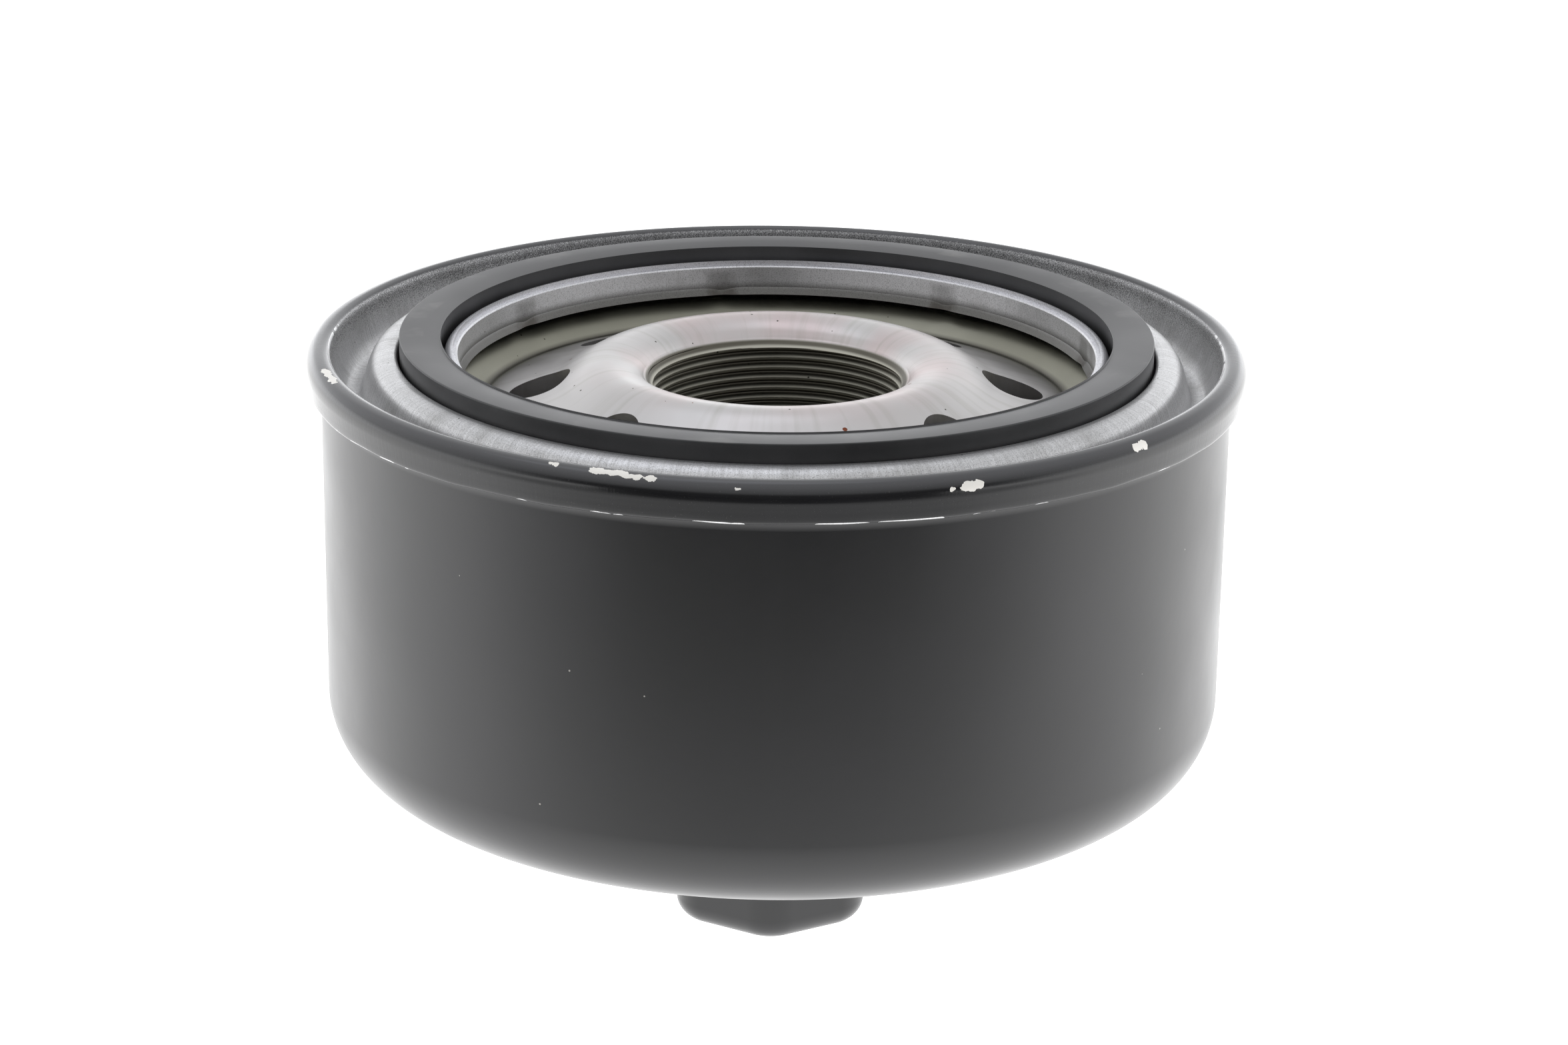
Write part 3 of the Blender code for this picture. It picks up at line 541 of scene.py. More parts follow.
        # painted highlight: the top of the rolled seam is painted lighter grey
        top = on.share((on.height, DATUM.level(LID.seam_top + 1.5), DATUM.level(LID.seam_top + 0.3)))
        coat = on.coated(self.paint.colour_of(on), (top, self.seam_top_highlight))
        rough = on.coated(0.33, (on.node("MapRange", {0: grain, 1: 0.2, 2: 0.8}), 0.46), (ring, 0.42))
        looks = {
            "Base Color": on.coated(self.plate(on, grain, ring), (chip, self.primer), (paint, coat)),
            "Metallic": on.share(on.joined("SUBTRACT", 1.0, paint), on.joined("SUBTRACT", 1.0, chip)),
            "Roughness": on.coated(rough, (paint, self.paint.roughness_of(on))),
        }
        on.wear(looks)
        on.relief(0.3, 0.03, on.joined("ADD", on.share(paint, 2.0), grain))


@dataclass(frozen=True)
class OiledSteel(Finish):
    """Thick bare steel, pressed and tapped, wiped with oil: warm grey, olive oil film, and painted shade in
    its hollows.
    """

    name: str = "oiled_bare_steel"
    metal: str = "#c9c7c6"
    warm: str = "#c9bbba"
    # oil film colour, also used as painted shade on the plate's outer band
    film_and_shade: str = "#98978a"
    thread: str = "#b6b4a8"
    # painted shade: colour for the thread's roots
    root: str = "#625f56"
    # dark colour for pits and marks, also painted shade along the plate's crease
    pits_marks_and_shade: str = "#4d4a42"
    rust: str = "#7c4a38"

    def dress(self, on: Surface) -> None:
        """Bright cone, oil-filmed outer band darkened as painted shade, painted shade along the crease and in
        the oily thread's roots, pits and a few stains.
        """
        crease = PLATE.crease_radius
        near_crest = (on.radius, PLATE.crest_radius + 7.0, PLATE.crest_radius - 2.0)
        wiped = on.node("MapRange", {0: on.streaks(2.2, 26.0, crease, 4.0), 1: 0.5, 2: 0.8, 4: 0.35})
        bore = on.share((on.radius, PLATE.mouth_radius - 0.1, PLATE.major_radius))
        # painted shade: the thread's roots are painted darker
        root = (on.radius, PLATE.minor_radius + 0.1, PLATE.major_radius - 0.25)
        # painted shade: a darker line along the plate's crease
        crease_shade = [(on.radius, crease + side * 0.9, crease + side * 0.2) for side in (-1.0, 1.0)]
        colour = on.coated(
            self.metal,
            (on.share(on.blotches(16.0, 0.42, 0.68), near_crest), self.warm),
            # outer band under the ring: olive oil film, also painted darker as painted shade from the ring
            (on.share((on.radius, crease - 2.5, crease + 1.0)), self.film_and_shade),
            (wiped, self.film_and_shade), (bore, self.thread),
            (on.share(bore, root), self.root),
            (on.share(*crease_shade, 0.7), self.pits_marks_and_shade),
            (on.specks(3.4, 0.16), self.pits_marks_and_shade),
            (on.specks(11.0, 0.34), self.rust),
        )
        rough = on.coated(0.34, (on.blotches(9.0, 0.3, 0.75), 0.46))
        on.wear({"Base Color": colour, "Metallic": 1.0, "Roughness": rough})
        broad = on.share(on.blotches(5.0, detail=2.0), 6.0)
        on.relief(0.25, 0.02, on.joined("ADD", on.blotches(0.35, detail=3.0), broad))


@dataclass(frozen=True)
class Nitrile(Finish):
    """Moulded and cut nitrile rubber: matt dark grey with fine tooth and pale scuffs."""

    name: str = "moulded_nitrile_rubber"
    colour: str = "#2b2b2c"
    bloom: str = "#414142"
    scuff: str = "#84827e"

    def dress(self, on: Surface) -> None:
        """Rubber with bloom, and with scuffs on its sealing face."""
        bloom = on.blotches(14.0, 0.35, 0.75)
        face = (on.height, DATUM.level(0.1), DATUM.level(0.03))
        scuffed = on.share(on.blotches(11.0, 0.55, 0.75, 8.0), face, 0.5)
        colour = on.coated(self.colour, (bloom, self.bloom), (scuffed, self.scuff))
        on.wear({"Base Color": colour, "Roughness": on.coated(0.38, (bloom, 0.48)), "IOR": 1.52})
        on.relief(0.25, 0.02, on.blotches(0.3, detail=3.0))


@dataclass(frozen=True)
class PlainMetal(Finish):
    """A rolled metal with a fine grain and cloudy tarnish, for zinc plate and spring steel."""

    name: str = "dull_zinc_plate"
    colour: str = "#c2c1bc"
    tarnish: str = "#96958f"
    roughness: float = 0.38

    def dress(self, on: Surface) -> None:
        """Metal with tarnish and grain."""
        grain = on.streaks(0.5, 8.0, 40.0)
        colour = on.coated(self.colour, (on.blotches(6.0, 0.35, 0.7), self.tarnish))
        rough = on.coated(self.roughness - 0.08, (grain, self.roughness + 0.1))
        on.wear({"Base Color": colour, "Metallic": 1.0, "Roughness": rough})
        on.relief(0.2, 0.02, grain)


@dataclass(frozen=True)
class CuredStuff(Finish):
    """A dull material with mottled colour and grain: paper, resin, sealing compound or nylon."""

    name: str = "resin_treated_filter_paper"
    colour: str = "#c9a765"
    mottle: str = "#b08d4f"
    roughness: float = 0.85
    grain: float = 0.5
    height: float = 0.06

    def dress(self, on: Surface) -> None:
        """Mottled colour over a fine relief."""
        colour = on.coated(self.colour, (on.blotches(self.grain * 6.0, 0.35, 0.7), self.mottle))
        on.wear({"Base Color": colour, "Roughness": self.roughness})
        on.relief(0.5, self.height, on.blotches(self.grain))


@dataclass(frozen=True)
class LitAcrylic(Finish):
    """Opal acrylic lit from below, so that the object stands on white with hardly a shadow."""

    name: str = "opal_acrylic_table"
    colour: str = "#6c6c6c"
    light: str = "#fdfdfd"
    glow: float = 2.1

    def dress(self, on: Surface) -> None:
        """White with its own glow."""
        on.wear({"Base Color": linear(self.colour), "Roughness": 0.9})
        on.wear({"Emission Color": linear(self.light), "Emission Strength": self.glow})


@dataclass(frozen=True)
class GradedGel(LitAcrylic):
    """Graded grey gel laid on the lit table, which dims it step by step away from the filter."""

    name: str = "graded_grey_gel"
    dimmed: float = 0.72
    fade: tuple[float, float] = (-62.0, -205.0)

    def dress(self, on: Surface) -> None:
        """The table's white, whose glow falls off towards the front."""
        LitAcrylic.dress(self, on)
        away = on.node("SeparateXYZ", {0: on.point}, "Y")
        on.wear({"Emission Strength": on.coated(self.glow, (on.share((away, *self.fade)), self.dimmed))})


# ---------------------------------------------------------------------------
# Mesh tools
# ---------------------------------------------------------------------------


@dataclass(frozen=True)
class Datum:
    """The sealing face, from which every depth is measured.

    Attributes:
        face: its height in the frame, in metres.
    """

    face: float

    def height(self, depth: float) -> float:
        """The height in metres of a depth in millimetres."""
        return self.face - depth * MM

    def level(self, depth: float) -> float:
        """The height in millimetres of a depth in millimetres."""
        return self.face / MM - depth


def reach_of(node: str) -> float:
    """How far a CAD node reaches from the axis along X, in millimetres."""
    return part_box(node)[1].x / MM


def rounded(corners: Corners, step: float = 14.0) -> Outline:
    """Rounds the corners of an open outline.

    Args:
        corners: each corner's radius, depth and rounding, in millimetres.
        step: the most that the direction turns from one point to the next, in degrees.

    Returns:
        The outline with an arc at each corner that has a rounding.
    """
    points = [corners[0][:2]]
    for before, corner, after in zip(corners, corners[1:], corners[2:]):
        here = Vector(corner[:2])
        back = (Vector(before[:2]) - here).normalized()
        ahead = (Vector(after[:2]) - here).normalized()
        opening = back.angle(ahead)
        turn = math.pi - opening
        if corner[2] <= 0.0 or turn < 0.02:
            points.append(corner[:2])
            continue
        run = corner[2] * math.tan(turn / 2.0)
        centre = here + (back + ahead).normalized() * (corner[2] / math.sin(opening / 2.0))
        first = here + back * run - centre
        side = math.copysign(1.0, first.x * (ahead.y) - first.y * (ahead.x))
        count = max(2, math.ceil(math.degrees(turn) / step))
        for i in range(count + 1):
            angle = side * turn * i / count
            cosine, sine = math.cos(angle), math.sin(angle)
            arm = Vector((first.x * cosine - first.y * sine, first.x * sine + first.y * cosine))
            points.append((centre.x + arm.x, centre.y + arm.y))
    points.append(corners[-1][:2])
    return points


def far_side(path: Sequence[tuple[float, ...]], thickness: float) -> Outline:
    """The hidden side of sheet metal, with the metal on the left of the path.

    Args:
        path: corners of the visible side; only radius and depth are read.
        thickness: the sheet's thickness in millimetres.

    Returns:
        The hidden side's corners, from the path's end back to its start.
    """
    points = [Vector(corner[:2]) for corner in path]
    runs = [(b - a).normalized() for a, b in zip(points, points[1:])]
    normals = [Vector((run.y, -run.x)) for run in runs]
    found = []
    for point, first, second in zip(points, [normals[0], *normals], [*normals, normals[-1]]):
        step = (first + second) * (thickness / (1.0 + first.dot(second)))
        found.append((point.x + step.x, point.y + step.y))
    return found[::-1]


def spline(points: Outline, steps: int = 6) -> Outline:
    """A smooth curve through points.

    Args:
        points: radius and depth of each point, in millimetres.
        steps: points made for each stretch.

    Returns:
        The curve's points, with the first and the last kept.
    """
    ends = [points[0], *points, points[-1]]
    found = []
    for p0, p1, p2, p3 in zip(ends, ends[1:], ends[2:], ends[3:]):
        for i in range(steps):
            t = i / steps
            weights = (
                -0.5 * t + t * t - 0.5 * t**3,
                1.0 - 2.5 * t * t + 1.5 * t**3,
                0.5 * t + 2.0 * t * t - 1.5 * t**3,
                -0.5 * t * t + 0.5 * t**3,
            )
            row = (p0, p1, p2, p3)
            found.append(tuple(sum(w * p[axis] for w, p in zip(weights, row)) for axis in (0, 1)))
    return [*found, points[-1]]


def skin(name: str, radius: np.ndarray, depth: np.ndarray, turns: np.ndarray, closed: bool) -> bpy.types.Mesh:
    """A mesh over a grid of rings.

    Args:
        name: the mesh's name.
        radius: each point's radius in millimetres, one row for each ring.
        depth: each point's depth in millimetres.
        turns: each point's heading in radians, the same in every ring.
        closed: whether the last ring joins the first.

    Returns:
        The mesh.
    """
    rings, count = radius.shape
    x = radius * np.cos(turns) * MM
    y = radius * np.sin(turns) * MM
    z = DATUM.face - depth * MM
    points = np.stack([x, y, z], -1).reshape(-1, 3)
    ring = np.arange(rings if closed else rings - 1)[:, None]
    here = np.arange(count)[None, :]
    after = (here + 1) % count
    below = (ring + 1) % rings
    corners = [ring * count + here, ring * count + after, below * count + after, below * count + here]
    faces = np.stack(corners, -1).reshape(-1, 4)
    mesh = bpy.data.meshes.new(name)
    mesh.from_pydata(points.tolist(), [], faces.tolist())
    return mesh


def tidy(mesh: bpy.types.Mesh, sharp: float = 32.0) -> bpy.types.Mesh:
    """Welds a mesh, turns its faces outward and shades it.

    Args:
        mesh: the mesh.
        sharp: the angle between faces, in degrees, from which an edge stays sharp.

    Returns:
        The same mesh.
    """
    work = bmesh.new()
    work.from_mesh(mesh)
    bmesh.ops.remove_doubles(work, verts=work.verts, dist=1e-7)
    bmesh.ops.dissolve_degenerate(work, dist=1e-8, edges=work.edges)
    bmesh.ops.recalc_face_normals(work, faces=work.faces)
    work.to_mesh(mesh)
    work.free()
    mesh.shade_smooth()
    mesh.set_sharp_from_angle(angle=math.radians(sharp))
    return mesh


def spread(outline: Outline, count: int) -> list[np.ndarray]:
    """Radii and depths of an outline's points, each repeated round the axis."""
    return [np.repeat(np.array(outline)[:, axis, None], count, 1) for axis in (0, 1)]


def turned(name: str, outline: Outline, segments: int = 256, shape: Shaper | None = None) -> bpy.types.Mesh:
    """Turns a closed outline about the axis.

    Args:
        name: the mesh's name.
        outline: radius and depth of each point, in millimetres.
        segments: facets round the axis.
        shape: changes radius and depth by heading, for pieces that aren't quite round.

    Returns:
        The closed mesh.
    """
    turns = np.linspace(0.0, math.tau, segments, endpoint=False)
    radius, depth = spread(outline, segments)
    if shape is not None:
        radius, depth = shape(radius, depth, turns[None, :])
    return tidy(skin(name, radius, depth, turns, True))


def ripple(turns: np.ndarray, waves: Sequence[tuple[int, float]]) -> np.ndarray:
    """A wavering value round the axis.

    Args:
        turns: headings in radians.
        waves: how many waves go round, and how high they are.

    Returns:
        The sum of the waves at each heading.
    """
    return sum(size * np.sin(count * turns + 1.7 * count) for count, size in waves)


def piece(name: str, mesh: bpy.types.Mesh, finish: bpy.types.Material) -> bpy.types.Object:
    """Puts a mesh in the scene with its material.

    Args:
        name: the piece's name.
        mesh: its mesh, in the frame's coordinates.
        finish: its material.

    Returns:
        The new object.
    """
    made = bpy.data.objects.new(name, mesh)
    mesh.materials.clear()
    mesh.materials.append(finish)
    bpy.context.scene.collection.objects.link(made)
    return made


def settle(made: bpy.types.Object, body: Body, slot: Slot, *nodes: str) -> None:
    """Makes a piece ride on its body and stand for its CAD nodes.

    Args:
        made: the piece.
        body: the CAD body that it moves with.
        slot: the record's material slot; not used.
        *nodes: the CAD nodes that it replaces.
    """
    weighted = made.modifiers.new("weighted_normals", "WEIGHTED_NORMAL")
    weighted.keep_sharp = True
    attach(made, body.value)
    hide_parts(*nodes)
    LOG.info("%s: %d faces, rides on %s", made.name, len(made.data.polygons), body.value)


def turned_piece(
    name: str, outline: Outline, segments: int, finish: bpy.types.Material, body: Body, slot: Slot, node: str
) -> None:
    """Turns a closed outline, whose last point repeats the first, into a settled piece.

    Args:
        name: the piece's name.
        outline: radius and depth of each point, in millimetres.
        segments: facets round the axis.
        finish: its material.
        body: the CAD body that it moves with.
        slot: the record's material slot.
        node: the CAD node that it replaces.
    """
    settle(piece(name, turned(name, outline[:-1], segments), finish), body, slot, node)


def dress_node(node: str, finish: bpy.types.Material) -> None:
    """Gives a CAD node that stays in view its material.

    Args:
        node: the CAD node's name.
        finish: its material.
    """
    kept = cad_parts[node]
    if not kept.material_slots:
        kept.data.materials.append(finish)
    for slot in kept.material_slots:
        slot.material = finish
    LOG.info("%s: kept, %s", node, finish.name)


def carved(made: bpy.types.Object, cutter: bpy.types.Object) -> None:
    """Cuts one object out of another and removes the cutter.

    Args:
        made: the object that is cut, a closed mesh.
        cutter: the object that cuts, a closed mesh.
    """
    cut = made.modifiers.new("cut", "BOOLEAN")
    cut.solver = "EXACT"
    cut.object = cutter
    graph = bpy.context.evaluated_depsgraph_get()
    mesh = bpy.data.meshes.new_from_object(made.evaluated_get(graph))
    made.modifiers.clear()
    made.data = mesh
    bpy.data.objects.remove(cutter, do_unlink=True)


# ---------------------------------------------------------------------------
# Sub-assemblies
# ---------------------------------------------------------------------------


@dataclass(frozen=True)
class PaintedCan:
    """Deep-drawn can: folded rim, wall, rounded corner, crowned bottom and hexagon.

    Attributes:
        radius: outside radius of the wall.
        rim_radius: outside radius of the folded rim, inside the seam.
        sheet: thickness of the steel.
        rim_top: depth of the rim's top.
        rim_bottom: depth of the rim's underside.
        corner: rounding of the bottom corner.
        corner_depth: depth where that rounding starts.
        crown: how far the bottom bulges.
        end: depth of the hexagon's end face.
        across: width across the hexagon's flats.
        hex_round: rounding of the hexagon's upright edges.
        foot_round: rounding where the hexagon leaves the crown.
        end_round: rounding of the hexagon's lower edges.
        dish: how far the middle of the end face is sunk.
        segments: facets round the axis, a multiple of 6.
    """

    end: float
    rim_radius: float
    radius: float = 63.0
    sheet: float = 0.8
    rim_top: float = 3.1
    rim_bottom: float = 5.6
    corner: float = 11.3
    corner_depth: float = 50.6
    crown: float = 4.0
    across: float = 27.0
    hex_round: float = 6.5
    foot_round: float = 2.6
    end_round: float = 3.3
    dish: float = 0.35
    segments: int = 384

    def hexagon(self, turns: np.ndarray, apothem: float, rounding: float) -> np.ndarray:
        """Radius of a rounded hexagon with flats on +X and -X.

        Args:
            turns: headings in radians.
            apothem: half the width across flats.
            rounding: radius of its corners.

        Returns:
            The radius at each heading.
        """
        sixth = math.pi / 3.0
        tip = (turns + sixth) % sixth - sixth / 2.0
        away = (apothem - rounding) / math.cos(sixth / 2.0)
        flat_from = math.atan2(rounding * 0.5, away + rounding * math.cos(sixth / 2.0))
        root = np.sqrt(np.maximum(rounding**2 - (away * np.sin(tip)) ** 2, 0.0))
        flat = apothem / np.cos(sixth / 2.0 - np.abs(tip))
        return np.where(np.abs(tip) < flat_from, away * np.cos(tip) + root, flat)

    def rings(self, inset: float, turns: np.ndarray) -> list[Ring]:
        """Rings of the can's skin from the wall down to the middle of the end face.

        Args:
            inset: 0 for the outside, or the sheet's thickness for the inside.
            turns: headings in radians.

        Returns:
            Each ring's radii and depths.
        """
        same = np.ones_like(turns)
        centre = self.radius - self.corner
        slope = 2.0 * math.atan(self.crown / centre)
        start = centre + self.corner * math.sin(slope)
        sphere = start / math.sin(slope)
        hub = self.corner_depth + self.corner * math.cos(slope) - sphere * math.cos(slope)

        def crown_depth(radius: np.ndarray) -> np.ndarray:
            return hub + np.sqrt((sphere - inset) ** 2 - radius**2)

        wall = np.linspace(8.0, self.corner_depth, 14)
        found = [(same * (self.radius - inset), same * depth) for depth in wall]
        for angle in np.linspace(0.0, math.pi / 2.0 - slope, 20)[1:]:
            arm = self.corner - inset
            radius, depth = centre + arm * math.cos(angle), self.corner_depth + arm * math.sin(angle)
            found.append((same * radius, same * depth))
        edge = found[-1][0][0]
        foot = self.foot_round + inset
        nose = self.hexagon(turns, self.across / 2.0 - inset, self.hex_round - inset)
        for share in np.linspace(0.0, 1.0, 16)[1:]:
            radius = same * edge * (1.0 - share) + (nose + foot) * share
            found.append((radius, crown_depth(radius)))
        for angle in np.linspace(0.0, math.pi / 2.0, 9)[1:]:
            radius = nose + foot * (1.0 - math.sin(angle))
            found.append((radius, crown_depth(nose + foot) + foot * (1.0 - math.cos(angle))))
        end = self.end - inset
        edge_round = self.end_round - inset
        for angle in np.linspace(0.0, math.pi / 2.0, 9):
            step = edge_round * (1.0 - math.cos(angle))
            half = self.across / 2.0 - inset - step
            radius = self.hexagon(turns, half, max(self.hex_round - inset - step, 0.4))
            found.append((radius, same * (end - edge_round * (1.0 - math.sin(angle)))))
        last = found[-1][0]
        for share in (0.85, 0.6, 0.3, 0.0):
            found.append((last * share, same * (end - self.dish * (1.0 - share) ** 0.5)))
        return found

    def build(self, finish: bpy.types.Material) -> None:
        """Builds the can as one closed shell.

        Args:
            finish: its paint.
        """
        turns = np.linspace(0.0, math.tau, self.segments, endpoint=False)
        same = np.ones_like(turns)
        bore = self.radius - self.sheet
        rim = rounded(
            [
                (bore, 7.0, 0.0), (bore, self.rim_top, 0.5), (self.rim_radius, self.rim_top, 0.4),
                (self.rim_radius, self.rim_bottom, 0.4), (self.radius, self.rim_bottom, 0.5),
                (self.radius, 7.0, 0.0),
            ]
        )
        rings = [(same * radius, same * depth) for radius, depth in rim]
        rings += self.rings(0.0, turns) + self.rings(self.sheet, turns)[::-1]
        radius, depth = (np.stack(rows) for rows in zip(*rings))
        made = piece("painted_can", tidy(skin("painted_can", radius, depth, turns, True), 50.0), finish)
        settle(made, Body.CASING, Slot.PAINT, "can")


@dataclass(frozen=True)
class SeamingLid:
    """Lid sheet: hook, rolled seam, valley, ridge, gasket groove, inner ring and hem, all in mm."""

    seam_radius: float
    gasket_outer: float
    seam_bottom: float = 6.6
    seam_top: float = 1.2
    sheet: float = 0.7
    gap: float = 0.3
    chuck_radius: float = 61.2
    valley_outer: float = 59.3
    valley_inner: float = 57.8
    valley_depth: float = 8.3
    ridge_outer: float = 56.4
    ridge_top: float = 2.4
    groove_depth: float = 6.0
    ring_outer: float = 46.2
    ring_inner: float = 43.5
    ring_top: float = 1.9
    hem: float = 6.8
    weld_phase: float = 101.0
    weld_count: int = 8

    def outline(self) -> Outline:
        """The lid's closed outline, visible side first.

        Returns:
            Radius and depth of each point.
        """
        seam, top = self.seam_radius, self.seam_top
        seamed = spline(
            [
                (63.32, self.seam_bottom - 0.02), (64.0, self.seam_bottom),
                (seam - 0.56, self.seam_bottom - 0.05), (seam - 0.34, self.seam_bottom - 0.3),
                (seam - 0.24, self.seam_bottom - 0.85), (seam - 0.16, self.seam_bottom - 1.55),
                (seam - 0.07, self.seam_bottom - 2.3), (seam, top + 2.35), (seam - 0.1, top + 1.5),
                (seam - 0.5, top + 0.75), (seam - 1.15, top + 0.2), (seam - 1.95, top),
                (self.chuck_radius + 1.3, top + 0.04), (self.chuck_radius + 0.75, top + 0.3),
                (self.chuck_radius + 0.42, top + 0.95), (self.chuck_radius + 0.1, top + 2.6),
                (self.chuck_radius - 0.55, self.valley_depth - 1.9),
                (self.valley_outer + 0.55, self.valley_depth - 0.55),
                (self.valley_outer - 0.2, self.valley_depth - 0.05),
                (self.valley_inner + 0.35, self.valley_depth),
                (self.valley_inner - 0.3, self.valley_depth - 0.5),
                (self.ridge_outer + 0.55, self.ridge_top + 3.4),
                (self.ridge_outer - 0.02, self.ridge_top + 1.75),
                (self.ridge_outer - 0.65, self.ridge_top + 0.8),
                (self.ridge_outer - 1.6, self.ridge_top + 0.25), (self.ridge_outer - 2.7, self.ridge_top),
            ],
            4,
        )
        ridge_inner = self.gasket_outer + self.gap
        pressed = rounded(
            [
                (self.ridge_outer - 2.9, self.ridge_top, 0.0), (ridge_inner, self.ridge_top + 0.05, 0.55),
                (ridge_inner, self.groove_depth, 0.25), (self.ring_outer, self.groove_depth, 0.25),
                (self.ring_outer, self.ring_top, 1.3), (self.ring_inner, self.ring_top, 1.3),
                (self.ring_inner, self.hem, 0.0),
            ],
            12.0,
        )
        coarse = [
            (63.3, self.seam_bottom), (seam - 0.6, self.seam_bottom),
            (seam - 0.05, self.seam_bottom - 0.9), (seam - 0.05, top + 1.6), (seam - 1.2, top + 0.1),
            (self.chuck_radius + 0.9, top + 0.1), (self.chuck_radius, top + 0.9),
            (self.chuck_radius - 0.6, self.valley_depth - 1.5), (self.valley_outer, self.valley_depth),
            (self.valley_inner, self.valley_depth), (self.ridge_outer, self.ridge_top + 1.6),
            (self.ridge_outer - 1.1, self.ridge_top + 0.4), (ridge_inner + 0.6, self.ridge_top),
            (ridge_inner, self.ridge_top + 0.5), (ridge_inner, self.groove_depth),
            (self.ring_outer, self.groove_depth), (self.ring_outer, self.ring_top + 0.6),
            (self.ring_outer - 0.6, self.ring_top), (self.ring_inner + 0.6, self.ring_top),
            (self.ring_inner, self.ring_top + 0.6), (self.ring_inner, self.hem),
        ]
        return [*seamed, *pressed, *far_side(coarse, self.sheet)]

    def shape(self, radius: np.ndarray, depth: np.ndarray, turns: np.ndarray) -> Ring:
        """Rolling marks on the seam's lip, and shallow dents in the ring where the welds are.

        Args:
            radius: radii of the grid.
            depth: depths of the grid.
            turns: headings of the grid.

        Returns:
            The changed radii and depths.
        """
        lip = np.clip((depth - self.seam_bottom + 1.3) / 1.3, 0.0, 1.0) * (radius > self.seam_radius - 1.3)
        lip *= depth < self.seam_bottom + 0.01
        waver = ripple(turns, ((7, 0.03), (17, 0.04), (31, 0.035), (53, 0.02)))
        depth = depth + lip * waver
        wall = np.clip(1.0 - np.abs(radius - self.ring_inner) / 0.25, 0.0, 1.0)
        low = np.clip((depth - self.ring_top - 0.8) / 1.5, 0.0, 1.0)
        spacing = math.tau / self.weld_count
        nearest = (turns - math.radians(self.weld_phase) + spacing / 2.0) % spacing - spacing / 2.0
        dent = 0.3 * np.exp(-((nearest * self.ring_inner / 1.5) ** 2))
        return radius + wall * low * dent, depth

    def build(self, finish: bpy.types.Material) -> None:
        """Builds the lid with its painted seam.

        Args:
            finish: its plate and paint.
        """
        mesh = turned("seaming_lid_sheet", self.outline(), 576, self.shape)
        made = piece("seaming_lid_sheet", mesh, finish)
        settle(made, Body.CASING, Slot.LID, "seaming_lid")


@dataclass(frozen=True)
class FaceGasket:
    """Square-cut gasket standing in the lid's groove, in mm."""

    outer: float
    inner: float = 46.5
    depth: float = 5.7
    edge: float = 0.18

    def build(self, finish: bpy.types.Material) -> None:
        """Builds the gasket with its cut edges barely broken.

        Args:
            finish: its rubber.
        """
        middle = (self.outer + self.inner) / 2.0
        outline = rounded(
            [
                (middle, 0.0, 0.0), (self.outer, 0.0, self.edge), (self.outer, self.depth, self.edge),
                (self.inner, self.depth, self.edge), (self.inner, 0.0, self.edge), (middle, 0.0, 0.0),
            ],
            30.0,
        )
        turned_piece("face_gasket", outline, 360, finish, Body.CASING, Slot.RUBBER, "sealing_gasket")


